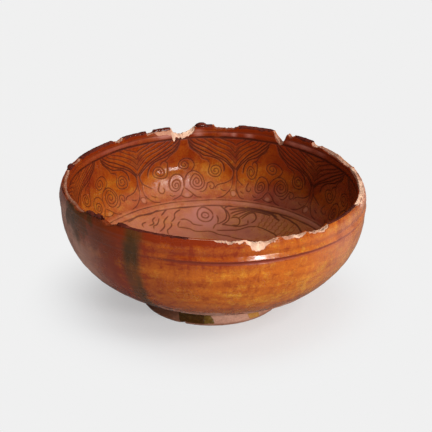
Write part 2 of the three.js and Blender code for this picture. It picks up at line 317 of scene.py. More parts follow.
def putMesh(name, points, quads, tris, values):
    # puts the leaned points into a mesh in metres, with faces turned outwards by the sign of its volume
    points = leaned(np.asarray(points, float).reshape(-1, 3)) * metresPerMm
    tris = np.zeros((0, 3), int) if tris is None else tris
    every = np.concatenate([quads[:, [0, 1, 2]], quads[:, [0, 2, 3]], tris])
    a, b, c = points[every[:, 0]], points[every[:, 1]], points[every[:, 2]]
    if (a * np.cross(b, c)).sum() < 0:
        quads, tris = quads[:, ::-1], tris[:, ::-1]
    mesh = bpy.data.meshes.new(name)
    loops = np.concatenate([quads.ravel(), tris.ravel()]).astype(np.int32)
    sizes = np.concatenate([np.full(len(quads), 4), np.full(len(tris), 3)])
    starts = np.concatenate([[0], np.cumsum(sizes)[:-1]]).astype(np.int32)
    mesh.vertices.add(len(points))
    mesh.vertices.foreach_set("co", points.astype(np.float32).ravel())
    mesh.loops.add(len(loops))
    mesh.loops.foreach_set("vertex_index", loops)
    mesh.polygons.add(len(sizes))
    mesh.polygons.foreach_set("loop_start", starts)
    mesh.polygons.foreach_set("use_smooth", np.ones(len(sizes), bool))
    mesh.update(calc_edges=True)
    mesh.validate()
    for key, value in values.items():
        layer = mesh.attributes.new(key, "FLOAT", "POINT")
        layer.data.foreach_set("value", np.asarray(value, np.float32).ravel())
    mesh.set_sharp_from_angle(angle=math.radians(sharpDegrees))
    piece = bpy.data.objects.new(name, mesh)
    bpy.context.scene.collection.objects.link(piece)
    return piece


def finishPiece(piece, material, slotName, *nodes):
    piece.data.materials.append(material)
    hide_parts(*nodes)
    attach(piece, "root")
    print("made", piece.name, "with", len(piece.data.polygons), "faces")
    return piece


def ringShell(name, front, back, values, every):
    # a closed ring: the front grid of rows and bearings, then every few rows of the back grid in reverse
    rows = front.shape[0]
    pick = np.unique(np.append(np.arange(0, rows, every), rows - 1))[::-1]
    grid = np.concatenate([front, back[pick]])
    spread = {key: np.concatenate([value, value[pick]]) for key, value in values.items()}
    quads = gridQuads(*grid.shape[:2], wrapRows=True, wrapColumns=True)
    return putMesh(name, grid, quads, None, spread)


def patchShell(name, front, back, values):
    # a closed patch: front rows then back rows in reverse, joined round, with its two ends filled in
    grid = np.concatenate([front, back[::-1]])
    rows, columns = grid.shape[:2]
    half = front.shape[0]
    i = np.arange(half - 1)
    ends = []
    for column in (0, columns - 1):
        loop = [i * columns, (i + 1) * columns, (rows - 2 - i) * columns, (rows - 1 - i) * columns]
        quad = np.stack(loop, -1) + column
        ends.append(quad[:, ::-1] if column else quad)
    quads = np.concatenate([gridQuads(rows, columns, wrapRows=True), ends[1], ends[0]])
    spread = {key: np.concatenate([value, value[::-1]]) for key, value in values.items()}
    return putMesh(name, grid, quads, None, spread)


view = {
    "elevation": 24.14,
    "distance": 0.9,
    "target": (0.0, 0.0, 0.04),
    "lens": 120.97,
    "shiftX": 0.0068,
    "shiftY": 0.0474,
}
cameraData = bpy.data.cameras.new("camera")
cameraData.sensor_width = 36
cameraData.lens = view["lens"]
cameraData.shift_x, cameraData.shift_y = view["shiftX"], view["shiftY"]
cameraData.clip_start, cameraData.clip_end = 0.01, 50
camera = bpy.data.objects.new("camera", cameraData)
bpy.context.scene.collection.objects.link(camera)
tilt = math.radians(view["elevation"])
back = Vector((0, -math.cos(tilt), math.sin(tilt)))
camera.location = Vector(view["target"]) + back * view["distance"]
camera.rotation_euler = Euler((math.pi / 2 - tilt, 0, 0))
bpy.context.scene.camera = camera
bpy.context.scene.view_settings.view_transform = "Standard"

# Lamps: name, bearing, elevation, distance in metres, width, height, watts, colour, and whether gloss
# mirrors it
lamps = [
    ("keyBox", 126, 40, 2.6, 1.1, 1.1, 30.0, (1.0, 0.985, 0.96), False),
    ("glintStrip", 143, 22, 2.6, 0.85, 0.28, 38.0, (1.0, 1.0, 1.0), True),
    ("topBox", -20, 78, 2.8, 2.4, 2.4, 24.0, (0.98, 0.99, 1.0), False),
    ("frontBox", 158, 13, 2.8, 2.0, 0.9, 10.0, (1.0, 0.99, 0.97), False),
    ("fillBox", -130, 25, 3.2, 1.8, 1.8, 5.0, (0.97, 0.985, 1.0), False),
]
for name, bearing, elevation, distance, width, height, watts, colour, mirroredInGloss in lamps:
    data = bpy.data.lights.new(name, "AREA")
    data.shape, data.size, data.size_y = "RECTANGLE", width, height
    data.energy, data.color = watts, colour
    lamp = bpy.data.objects.new(name, data)
    lamp.visible_glossy = mirroredInGloss
    bpy.context.scene.collection.objects.link(lamp)
    a, e = math.radians(bearing), math.radians(elevation)
    way = Vector((math.sin(a) * math.cos(e), math.cos(a) * math.cos(e), math.sin(e)))
    lamp.location = Vector(view["target"]) + way * distance
    lamp.rotation_euler = way.to_track_quat("Z", "Y").to_euler()


def newMaterial(name):
    material = bpy.data.materials.new(name)
    material.use_nodes = True
    tree = material.node_tree
    tree.nodes.clear()
    return material, tree


def feed(tree, socket, value):
    # links an output to the socket, or gives the socket a plain value
    if hasattr(value, "is_output"):
        tree.links.new(value, socket)
    else:
        socket.default_value = value


def node(tree, kind, inputs=None, **settings):
    made = tree.nodes.new("ShaderNode" + kind)
    for key, value in settings.items():
        setattr(made, key, value)
    for key, value in (inputs or {}).items():
        feed(tree, made.inputs[key], value)
    return made


def colourOf(red, green, blue):
    # the linear colour of a screen colour given as three numbers to 255
    screen = np.array([red, green, blue]) / 255
    linear = np.where(screen <= 0.04045, screen / 12.92, ((screen + 0.055) / 1.055) ** 2.4)
    return (*[float(value) for value in linear], 1.0)


def mathNode(tree, operation, first, second=0.0, third=0.0, clamp=False):
    inputs = {0: first, 1: second, 2: third}
    return node(tree, "Math", inputs, operation=operation, use_clamp=clamp).outputs[0]


def mixColour(tree, share, first, second):
    return node(tree, "Mix", {0: share, 6: first, 7: second}, data_type="RGBA").outputs[2]


def ramp(tree, value, low, high, first=0.0, last=1.0):
    inputs = {0: value, 1: low, 2: high, 3: first, 4: last}
    return node(tree, "MapRange", inputs, interpolation_type="SMOOTHSTEP").outputs[0]


def times(tree, first, second):
    return mathNode(tree, "MULTIPLY", first, second)


def plus(tree, first, *others):
    for other in others:
        first = mathNode(tree, "ADD", first, other)
    return first


def anyOf(tree, first, *others):
    for other in others:
        first = mathNode(tree, "MAXIMUM", first, other)
    return first


world = bpy.data.worlds.new("studio")
bpy.context.scene.world = world
world.use_nodes = True
worldTree = world.node_tree
worldTree.nodes.clear()
rays = node(worldTree, "LightPath").outputs
direct = anyOf(worldTree, rays["Is Camera Ray"], rays["Is Transmission Ray"])
dimmed = mathNode(worldTree, "MULTIPLY_ADD", rays["Is Glossy Ray"], -0.11, 0.15)
plain = node(worldTree, "Background", {"Color": (0.97, 0.985, 1.0, 1.0), "Strength": dimmed})
shown = node(worldTree, "Background", {"Color": colourOf(240, 240, 240), "Strength": 1.0})
mixed = node(worldTree, "MixShader", {0: direct, 1: plain.outputs[0], 2: shown.outputs[0]})
node(worldTree, "OutputWorld", {0: mixed.outputs[0]})

ground = {
    "reach": 3.0,
    "bounce": 0.68,  # how pale it is to the light that it sends up to the bowl
    "shadowNear": 0.05,
    "shadowFar": 0.125,
    "glowNear": 0.45,
}
floorMaterial, tree = newMaterial("paleGround")
# far from the bowl the seen ground is an even near white, and round the foot it takes the bowl's shadow
rays = node(tree, "LightPath").outputs
bounceColour = (*[ground["bounce"]] * 3, 1.0)
bounced = mixColour(tree, times(tree, rays["Is Glossy Ray"], 0.75), bounceColour, (0.0, 0.0, 0.0, 1.0))
bounce = node(tree, "BsdfDiffuse", {"Color": bounced})
pale = node(tree, "BsdfDiffuse", {"Color": colourOf(240, 244, 247)})
glow = node(tree, "Emission", {"Color": colourOf(240, 240, 240), "Strength": 1.0})
place = node(tree, "TexCoord").outputs["Object"]
away = node(tree, "VectorMath", {0: place}, operation="LENGTH").outputs["Value"]
share = ramp(tree, away, ground["shadowNear"], ground["shadowFar"], ground["glowNear"], 1.0)
paleGlow = node(tree, "MixShader", {0: share, 1: pale.outputs[0], 2: glow.outputs[0]})
inGloss = times(tree, rays["Is Glossy Ray"], 0.06)
direct = anyOf(tree, rays["Is Camera Ray"], rays["Is Transmission Ray"], inGloss)
shown = node(tree, "MixShader", {0: direct, 1: bounce.outputs[0], 2: paleGlow.outputs[0]})
clear = node(tree, "BsdfTransparent")
behind = node(tree, "NewGeometry").outputs["Backfacing"]
mixed = node(tree, "MixShader", {0: behind, 1: shown.outputs[0], 2: clear.outputs[0]})
node(tree, "OutputMaterial", {0: mixed.outputs[0]})
reach = ground["reach"]
floorMesh = bpy.data.meshes.new("ground")
corners = [(-reach, -reach, 0), (reach, -reach, 0), (reach, reach, 0), (-reach, reach, 0)]
floorMesh.from_pydata(corners, [], [(0, 1, 2, 3)])
floorMesh.materials.append(floorMaterial)
floorPiece = bpy.data.objects.new("ground", floorMesh)
bpy.context.scene.collection.objects.link(floorPiece)
print("set the camera, the lamps and the ground")


def newGroup(name, inputs, outputs):
    group = bpy.data.node_groups.new(name, "ShaderNodeTree")
    for label, kind, value in inputs:
        socket = group.interface.new_socket(label, in_out="INPUT", socket_type="NodeSocket" + kind)
        if value is not None:
            socket.default_value = value
    for label, kind in outputs:
        group.interface.new_socket(label, in_out="OUTPUT", socket_type="NodeSocket" + kind)
    return group, group.nodes.new("NodeGroupInput").outputs, group.nodes.new("NodeGroupOutput").inputs


def groupIn(tree, group, colours, numbers):
    made = tree.nodes.new("ShaderNodeGroup")
    made.node_tree = group
    for label, value in colours.items():
        made.inputs[label].default_value = colourOf(*value)
    for label, value in numbers.items():
        made.inputs[label].default_value = value
    return made


def attribute(tree, name):
    return node(tree, "Attribute", attribute_name=name).outputs["Fac"]


def spotNoise(tree, place, scale, detail=2.0, rough=0.5, stretch=None):
    # noise between 0 and 1 on a place vector, which may be stretched along an axis first
    if stretch is not None:
        place = node(tree, "Mapping", {"Vector": place, "Scale": stretch}).outputs[0]
    made = node(tree, "TexNoise", {"Vector": place, "Scale": scale, "Detail": detail, "Roughness": rough})
    return made.outputs["Fac"]


def glazeGroup():
    # transparent lead glaze: bands from the wheel, mottling, runs down the wall, dark flecks, pooling and
    # crazing; Rich says how thick the coat lies, from thin and yellow to thick and red
    group, given, wanted = newGroup(
        "leadGlaze",
        [("Body", "Color", None), ("Thin", "Color", None), ("Deep", "Color", None), ("Pool", "Color", None),
         ("Pooling", "Float", 0.0), ("Rich", "Float", 0.5), ("Bands", "Float", 0.5), ("Flecks", "Float", 0.3),
         ("Haze", "Float", 0.2)],
        [("Colour", "Color"), ("Roughness", "Float"), ("Height", "Float")],
    )
    place = node(group, "TexCoord").outputs["Object"]
    bands = spotNoise(group, place, 34, 3, 0.55, (1.0, 1.0, 5.0))
    fine = spotNoise(group, place, 150, 2, 0.6, (1.0, 1.0, 4.0))
    mottle = spotNoise(group, place, 75, 4, 0.62)
    clouds = spotNoise(group, place, 22, 2, 0.5)
    runs = spotNoise(group, place, 95, 2, 0.5, (1.0, 1.0, 0.16))
    blots = spotNoise(group, place, 330, 2, 0.55, (1.0, 1.0, 0.45))
    grain = spotNoise(group, place, 900, 2, 0.6)
    over = mathNode(group, "SUBTRACT", given["Rich"], 0.5)
    light = times(group, ramp(group, bands, 0.42, 0.68), given["Bands"])
    light = plus(
        group, light, times(group, ramp(group, mottle, 0.46, 0.7), 0.4), times(group, over, -1.5),
        times(group, ramp(group, blots, 0.5, 0.72), 0.5),
        times(group, ramp(group, grain, 0.3, 0.7, -0.5, 0.5), 0.4),
    )
    light = mathNode(group, "MULTIPLY", light, 1.0, clamp=True)
    colour = mixColour(group, light, given["Body"], given["Thin"])
    dark = plus(
        group, times(group, ramp(group, fine, 0.5, 0.75), 0.26),
        times(group, ramp(group, runs, 0.5, 0.75), 0.3),
        times(group, ramp(group, clouds, 0.5, 0.72), 0.3), times(group, over, 1.6),
        times(group, ramp(group, blots, 0.5, 0.28), 0.28),
        times(group, ramp(group, grain, 0.3, 0.7, 0.5, -0.5), 0.2),
    )
    dark = mathNode(group, "MULTIPLY", dark, 1.0, clamp=True)
    colour = mixColour(group, dark, colour, given["Deep"])
    specks = node(group, "TexVoronoi", {"Vector": place, "Scale": 420.0}).outputs["Distance"]
    speck = times(group, ramp(group, specks, 0.2, 0.08), given["Flecks"])
    speck = times(group, speck, ramp(group, mottle, 0.45, 0.6))
    colour = mixColour(group, speck, colour, given["Pool"])
    colour = mixColour(group, ramp(group, given["Pooling"], 0.06, 0.9, 0.0, 0.94), colour, given["Pool"])
    craze = node(group, "TexVoronoi", {"Vector": place, "Scale": 300.0}, feature="DISTANCE_TO_EDGE")
    crack = times(group, ramp(group, craze.outputs["Distance"], 0.035, 0.0), 0.22)
    colour = mixColour(group, crack, colour, given["Deep"])
    group.links.new(colour, wanted["Colour"])
    smudge = times(group, ramp(group, mottle, 0.35, 0.7), given["Haze"])
    pooled = times(group, ramp(group, given["Pooling"], 0.01, 0.2), 0.45)
    group.links.new(plus(group, smudge, 0.1, times(group, crack, 0.5), pooled), wanted["Roughness"])
    height = plus(group, times(group, mottle, 0.5), times(group, fine, 0.3), times(group, crack, -0.3))
    group.links.new(plus(group, height, times(group, speck, -0.4)), wanted["Height"])
    return group


def clayGroup():
    # bare fired clay: fine grain, pale grits and dirt rubbed in, paler where freshly broken, and brown where
    # glaze has run over the break; on the foot the same brown is also painted shade
    group, given, wanted = newGroup(
        "firedClay",
        [("Base", "Color", None), ("Light", "Color", None), ("Dirt", "Color", None),
         ("Broken", "Color", None), ("FilmAndShadeColour", "Color", None),
         ("Fresh", "Float", 0.0), ("FilmAndShade", "Float", 0.0), ("Rough", "Float", 0.6)],
        [("Colour", "Color"), ("Roughness", "Float"), ("Height", "Float")],
    )
    place = node(group, "TexCoord").outputs["Object"]
    cloud = spotNoise(group, place, 70, 4, 0.6)
    grain = spotNoise(group, place, 900, 3, 0.7)
    grit = node(group, "TexVoronoi", {"Vector": place, "Scale": 700.0}).outputs["Distance"]
    stain = spotNoise(group, place, 130, 3, 0.6)
    colour = mixColour(group, ramp(group, cloud, 0.35, 0.65), given["Base"], given["Light"])
    colour = mixColour(group, times(group, ramp(group, grain, 0.5, 0.7), 0.3), colour, given["Dirt"])
    colour = mixColour(group, times(group, ramp(group, grit, 0.25, 0.1), 0.35), colour, given["Broken"])
    fresh = times(group, given["Fresh"], ramp(group, cloud, 0.25, 0.55))
    colour = mixColour(group, fresh, colour, given["Broken"])
    colour = mixColour(group, times(group, ramp(group, stain, 0.54, 0.7), 0.4), colour, given["Dirt"])
    filmAndShade = mathNode(group, "MULTIPLY", given["FilmAndShade"], ramp(group, stain, 0.2, 0.45, 0.75, 1.0), clamp=True)
    colour = mixColour(group, filmAndShade, colour, given["FilmAndShadeColour"])
    group.links.new(colour, wanted["Colour"])
    rough = plus(group, times(group, grain, 0.2), given["Rough"], times(group, filmAndShade, -0.3))
    group.links.new(rough, wanted["Roughness"])
    group.links.new(plus(group, grain, times(group, grit, -0.4)), wanted["Height"])
    return group


leadGlaze = glazeGroup()
firedClay = clayGroup()


def shade(tree, colour, rough, height, bump, bumpDepth, gloss):
    # the material's shader: its colour, its roughness and its surface bumped by a height
    bumped = node(tree, "Bump", {"Strength": bump, "Distance": bumpDepth, "Height": height})
    shader = node(tree, "BsdfPrincipled", {
        "Base Color": colour, "Roughness": rough, "Normal": bumped.outputs[0], "Specular IOR Level": gloss,
    })
    node(tree, "OutputMaterial", {0: shader.outputs[0]})


def glazeMaterial(name, colours, numbers, bump, gloss, sheenColour=None, outside=None, reads=("incised", "rich")):
    material, tree = newMaterial(name)
    made = groupIn(tree, leadGlaze, colours, numbers)
    for attributeName, label in (("incised", "Pooling"), ("rich", "Rich")):
        if attributeName in reads:
            tree.links.new(attribute(tree, attributeName), made.inputs[label])
    colour, rough = made.outputs["Colour"], made.outputs["Roughness"]
    place = node(tree, "TexCoord").outputs["Object"]
    patch = spotNoise(tree, place, 60, 3, 0.6, (1.0, 1.0, 0.6))
    if sheenColour:
        # painted pinkish sheen on the glaze, a painted reflection of the pale backdrop, with pinkish worn
        # places inside, off the dark of the lines
        clean = ramp(tree, attribute(tree, "incised"), 0.5, 0.1, 0.35, 1.0)
        sheenAndWear = times(tree, attribute(tree, "sheenAndWear"), clean)
        sheenAndWear = times(tree, sheenAndWear, ramp(tree, patch, 0.3, 0.62, 0.5, 1.0))
        colour = mixColour(tree, sheenAndWear, colour, colourOf(*sheenColour))
        rough = plus(tree, rough, times(tree, sheenAndWear, 0.35))
    if outside:
        # green bled into the amber, and the thin pinkish foot of the coat
        share = times(tree, attribute(tree, "green"), ramp(tree, patch, 0.25, 0.6, 0.6, 0.92))
        olive, green = colourOf(*outside["olive"]), colourOf(*outside["green"])
        dark = mixColour(tree, ramp(tree, patch, 0.4, 0.65), olive, green)
        colour = mixColour(tree, share, colour, dark)
        low = spotNoise(tree, place, 170, 3, 0.6, (1.0, 1.0, 2.0))
        bare = mathNode(tree, "ADD", attribute(tree, "bare"), ramp(tree, low, 0.3, 0.7, -0.35, 0.25))
        bare = ramp(tree, bare, 0.25, 0.75)
        colour = mixColour(tree, bare, colour, colourOf(*outside["bare"]))
        rough = plus(tree, rough, times(tree, bare, 0.25))
    shade(tree, colour, rough, made.outputs["Height"], bump, 0.0006, gloss)
    return material


def clayMaterial(name, colours, rough):
    material, tree = newMaterial(name)
    made = groupIn(tree, firedClay, colours, {"Rough": rough})
    for attributeName, label in (("fresh", "Fresh"), ("filmAndShade", "FilmAndShade")):
        tree.links.new(attribute(tree, attributeName), made.inputs[label])
    colour, rough, height = made.outputs["Colour"], made.outputs["Roughness"], made.outputs["Height"]
    shade(tree, colour, rough, height, 0.6, 0.0005, 0.3)
    return material


amberOutside = glazeMaterial(
    "amberOutside",
    {"Body": (196, 102, 25), "Thin": (210, 142, 40), "Deep": (132, 44, 14), "Pool": (80, 28, 12)},
    {"Bands": 0.45, "Flecks": 0.5, "Haze": 0.14}, 0.22, 0.5,
    sheenColour=(206, 152, 130),
    outside={"olive": (92, 58, 26), "green": (62, 46, 22), "bare": (200, 146, 124)},
)
amberInside = glazeMaterial(
    "amberInside",
    {"Body": (170, 84, 22), "Thin": (184, 120, 34), "Deep": (128, 42, 11), "Pool": (68, 21, 4)},
    {"Bands": 0.3, "Flecks": 0.35, "Haze": 0.2}, 0.2, 0.3, sheenColour=(178, 112, 96),
)
greenDark = glazeMaterial(
    "greenDark",
    {"Body": (72, 44, 14), "Thin": (96, 66, 24), "Deep": (50, 30, 10), "Pool": (30, 18, 8)},
    {"Bands": 0.5, "Flecks": 0.5, "Haze": 0.3}, 0.3, 0.3, reads=(),
)
oliveFoot = glazeMaterial(
    "oliveFoot",
    {"Body": (98, 72, 22), "Thin": (124, 94, 34), "Deep": (66, 44, 12), "Pool": (34, 22, 8)},
    {"Bands": 0.3, "Flecks": 0.3, "Haze": 0.3}, 0.3, 0.3, reads=(),
)
goldFoot = glazeMaterial(
    "goldFoot",
    {"Body": (166, 110, 44), "Thin": (186, 136, 66), "Deep": (126, 74, 28), "Pool": (74, 34, 8)},
    {"Bands": 0.3, "Flecks": 0.3, "Haze": 0.3}, 0.3, 0.3, reads=(),
)
brownLip = glazeMaterial(
    "brownLip",
    {"Body": (86, 33, 24), "Thin": (114, 50, 36), "Deep": (50, 20, 16), "Pool": (26, 12, 11)},
    {"Bands": 0.6, "Flecks": 0.6, "Haze": 0.15}, 0.35, 0.45, reads=(),
)
brokenClay = clayMaterial(
    "brokenClay",
    {"Base": (208, 148, 118), "Light": (226, 174, 144), "Dirt": (154, 90, 62), "Broken": (250, 210, 180),
     "FilmAndShadeColour": (122, 52, 22)}, 0.6,
)
# its film colour also paints the shade on the foot's left side
footClay = clayMaterial(
    "footClay",
    {"Base": (174, 124, 103), "Light": (190, 142, 120), "Dirt": (122, 78, 58), "Broken": (214, 170, 144),
     "FilmAndShadeColour": (120, 74, 50)}, 0.5,
)
print("mixed the glazes and clays")


carving = {
    "sampleStep": 0.15,
    "depth": 0.25,
    "mainWidth": 0.46,
    "fineWidth": 0.34,
    "reach": 5,  # cells round a point of a stroke that it marks
    "press": 0.5,  # how much lighter a stroke starts and ends
    "wander": 0.3,  # how far the potter's hand strays from the drawing
    "ringHeight": 122.8,  # of the ring round the wall above the lappets, and of the one under the lip
    "lipRingHeight": 126.5,
    "degreeLength": 1.483,  # a degree of bearing on the wall, in millimetres
    "halfWidth": 33.0,  # of a lappet as drawn below
    "ledgeLength": 79.2,  # of the raised ledge round the well, from the middle of the floor
    "ledgeHeight": 0.45,
    "ledgeWidth": 1.3,
    "ledgeShift": 0.8,  # how far the ledge lies off the middle
    "ridgeLength": 124.9,  # of the low ridge under the lip
    "ridgeHeight": 0.2,
    "ridgeWidth": 0.8,
}
# Bearings of the points between the lappets, and of their middles
lappetGaps = [-80, -35.2, 9.7, 49.3, 95.4, 141.5, 187.7, 233.8, 280]
lappetMiddles = [-57.5, -12.8, 27.0, 72.4, 118.5, 164.6, 210.7, 256.9]


def throughPoints(points, step=carving["sampleStep"]):
    # Catmull-Rom curve through the points, resampled at an even step along its length
    p = np.asarray(points, float)
    if len(p) > 2:
        q = np.vstack([2 * p[0] - p[1], p, 2 * p[-1] - p[-2]])[:, None]
        t = np.linspace(0, 1, 20, endpoint=False)[None, :, None]
        a, b, c, d = q[:-3], q[1:-2], q[2:-1], q[3:]
        curve = 2 * b + (c - a) * t + (2 * a - 5 * b + 4 * c - d) * t ** 2
        curve = (curve + (3 * b - a - 3 * c + d) * t ** 3) / 2
        p = np.vstack([curve.reshape(-1, 2), p[-1]])
    length = np.concatenate([[0], np.cumsum(np.hypot(*np.diff(p, axis=0).T))])
    even = np.linspace(0, length[-1], max(int(length[-1] / step), 2))
    return np.stack([np.interp(even, length, p[:, 0]), np.interp(even, length, p[:, 1])], 1)


def spiral(u, v, radii, startAngle, turn):
    # round a centre with a radius given at every quarter turn, anticlockwise for turn 1
    quarter = np.linspace(0, len(radii) - 1, 6 * (len(radii) - 1) + 1)
    r = np.interp(quarter, np.arange(len(radii)), radii)
    a = np.radians(startAngle + turn * 90 * quarter)
    return np.stack([u + r * np.cos(a), v + r * np.sin(a)], 1)


def mirrored(points):
    return np.asarray(points, float) * [-1, 1]


def ring(u, v, radius, squash=1.0):
    a = np.linspace(0, 2 * math.pi, 40)
    return np.stack([u + radius * np.cos(a), v + squash * radius * np.sin(a)], 1)


# One lappet's strokes: sideways from its middle, and up the wall from the middle of the floor
ogees = [
    [(3.4, 118.6), (5.2, 116.6), (7.9, 114.4), (10.2, 112.2), (11.6, 110), (13.8, 109), (15.7, 108),
     (16.6, 106)],
    [(2.6, 120.8), (4.3, 118.6), (7.2, 116), (10.1, 113.8), (13.1, 111.7), (17.5, 110.4), (21.2, 109),
     (24.2, 106.5), (25.5, 104), (25.8, 100.6)],
    [(2.0, 122.6), (4.2, 120.2), (8.5, 117), (13.1, 114.2), (17.5, 112), (22, 110), (26.4, 107.4),
     (30, 104.2), (32.2, 101)],
    [(2.3, 123.6), (5, 121.4), (7.6, 119.8), (11.6, 117.6), (16, 115.4), (19.8, 113.2), (23.4, 111),
     (27.2, 108.5),
     (30.2, 105.5), (33, 102.4)],
    [(6.2, 124), (8.6, 121.8), (11.6, 120), (16, 118), (20.5, 116), (23.5, 114.3), (26.4, 112.4), (29.4, 110),
     (31.6, 108), (33.2, 105.8)],
    [(10.4, 124), (13, 121.8), (16.8, 120), (20.5, 118.5), (25, 116.7), (28.6, 114.5), (31.2, 112),
     (33.2, 109.4)],
    [(15.6, 124), (18.4, 122.6), (21.2, 121.4), (25, 119.5), (28.6, 117.8), (31.4, 115.4), (33.2, 113)],
    [(20.4, 124.2), (22, 123.4), (26.4, 121.5), (30.8, 120), (33, 118.6)],
]
chevrons = [
    [(26.6, 113.6), (30, 111.4), (33, 108)],
    [(28, 116), (30.8, 114), (33, 111.4)],
    [(28.6, 118.9), (31, 117.4), (33, 115.6)],
]
curls = [
    # left pair: the stem's lobe rolling into a spiral, then the right pair's larger spiral and the top one
    [(-0.9, 90), (-0.9, 92.4), (-1.3, 95.2), (-2.7, 97.4), (-4.7, 98.9), (-7.1, 99.4), (-9.5, 98.4),
     (-11.1, 96.3),
     (-12, 93.5), (-11.6, 90.8), (-10.1, 89), (-7.4, 88.4), (-5, 89.9), (-4, 92.3), (-4.7, 94.8),
     (-7, 96), (-9.2, 95),
     (-10, 92.8), (-9, 90.9), (-7.1, 90.2), (-5.7, 91.3), (-5.8, 93.2), (-7.1, 94), (-8.3, 93.1),
     (-8, 92), (-7.1, 92.3)],
    [(-0.7, 94.6), (0.6, 97.8), (3.4, 100.3), (6.8, 101), (9.8, 99.5), (12.2, 96.6), (13.2, 93), (12.2, 90.2),
     (9.2, 88.5), (5.9, 88.8), (3.8, 90.8), (3.2, 93.6), (4.1, 96.7), (6.3, 99), (8.9, 98.3), (11, 95.6),
     (11.6, 92.7),
     (10.1, 90.8), (7.3, 90.4), (5.3, 92.1), (5.3, 94.6), (7, 96.5), (8.8, 96), (9.5, 94.2), (8.7, 92.7),
     (7.3, 92.8),
     (7, 94.1), (7.8, 94.6)],
    [(3.4, 100.4), (5.6, 102.2), (6.9, 105), (5.4, 108.4), (2.1, 110.1), (-1.5, 109.3), (-3.7, 106.8),
     (-3.6, 104.2),
     (-1.6, 102.3), (0.9, 102.1), (2.8, 104), (2.6, 106.4), (0.7, 108.1), (-1.3, 107.3), (-1.9, 105.5),
     (-0.8, 104.1),
     (0.7, 104.3), (1, 105.6), (0.1, 106.3)],
    # the right lobe's spiral hangs from the lowest ogee line, and the left one's faces it
    [(16.6, 106), (16.3, 103.8), (15.6, 101), (16.5, 98.4), (19, 96.8), (22.1, 97), (23.7, 99), (23.8, 101.8),
     (22.5, 104), (20.2, 104.9), (17.9, 103.8), (17.2, 101.6), (18.2, 99.4), (20.3, 98.6), (22, 99.8),
     (21.8, 101.9),
     (20.3, 102.9), (18.9, 101.9), (19.3, 100.6), (20.5, 100.8)],
    [(-13.8, 109), (-11.6, 107.4), (-11.4, 104.6), (-12, 101), (-13.6, 98), (-16.6, 97), (-19.6, 98.5),
     (-21.4, 101),
     (-21.2, 103.8), (-19.3, 105.4), (-16.3, 105), (-14.4, 103), (-14.7, 100.4), (-16.9, 99), (-19, 100.2),
     (-19.4, 102.3), (-17.8, 103.7), (-16.2, 102.6), (-16.6, 101.1)],
    # the lobes' edges and the small curls between them
    [(-31.6, 104), (-31.9, 99), (-30.6, 96), (-27.2, 94), (-23.7, 92)],
    [(31.4, 104), (31.8, 99.4), (30.9, 95.6), (29.5, 94), (27.6, 92.6), (24.9, 91.8), (22.2, 91.4),
     (20.6, 90.3), (20.2, 88.8)],
    [(-31.4, 89.6), (-27.7, 85.6), (-24.8, 83.6), (-20.3, 82.6)],
    [(31.4, 89.2), (28.4, 85.8), (25.4, 83.8), (21, 82.7)],
    [(-18.4, 94.4), (-19.6, 92.4), (-20.3, 90.2), (-19.1, 88.5), (-16.9, 88.1), (-15.6, 89.6), (-16.6, 91)],
    [(-23.3, 96.3), (-22.6, 95.8)],
    [(8.9, 87.1), (11.6, 87.1), (13.6, 88.7), (14.5, 90.7), (15.2, 92.4), (17.1, 93.1), (18.8, 92.3),
     (19.4, 90.8),
     (18.6, 89.2), (17, 89), (16.3, 90.3), (17.2, 91.2)],
    [(-12.8, 86.6), (-10.4, 85.2), (-8, 85.6)],
    [(-26.4, 88.4), (-24, 87), (-21.8, 86.6)],
    [(24, 89), (26, 87.6), (28.2, 87.4)],
    [(-0.9, 90), (-2.6, 88), (-4.4, 85.2), (-7.4, 83.6), (-11, 82.8)],
    [(-0.9, 90), (1.9, 87.6), (4.6, 85.2), (7.1, 83.6), (10.8, 82.8)],
    [(-4.4, 85.2), (-1.8, 83.6), (1.9, 83.5), (4.6, 85.2)],
]
gapStrokes = [
    [(0, 105.4), (-0.8, 101), (-1.4, 97), (-1.3, 92), (-2, 89.2), (-3.8, 86)],
    [(1.1, 100), (1.4, 96), (1.3, 92), (2, 89.2), (3.8, 86)],
    ring(0, 85.9, 2.3),
]


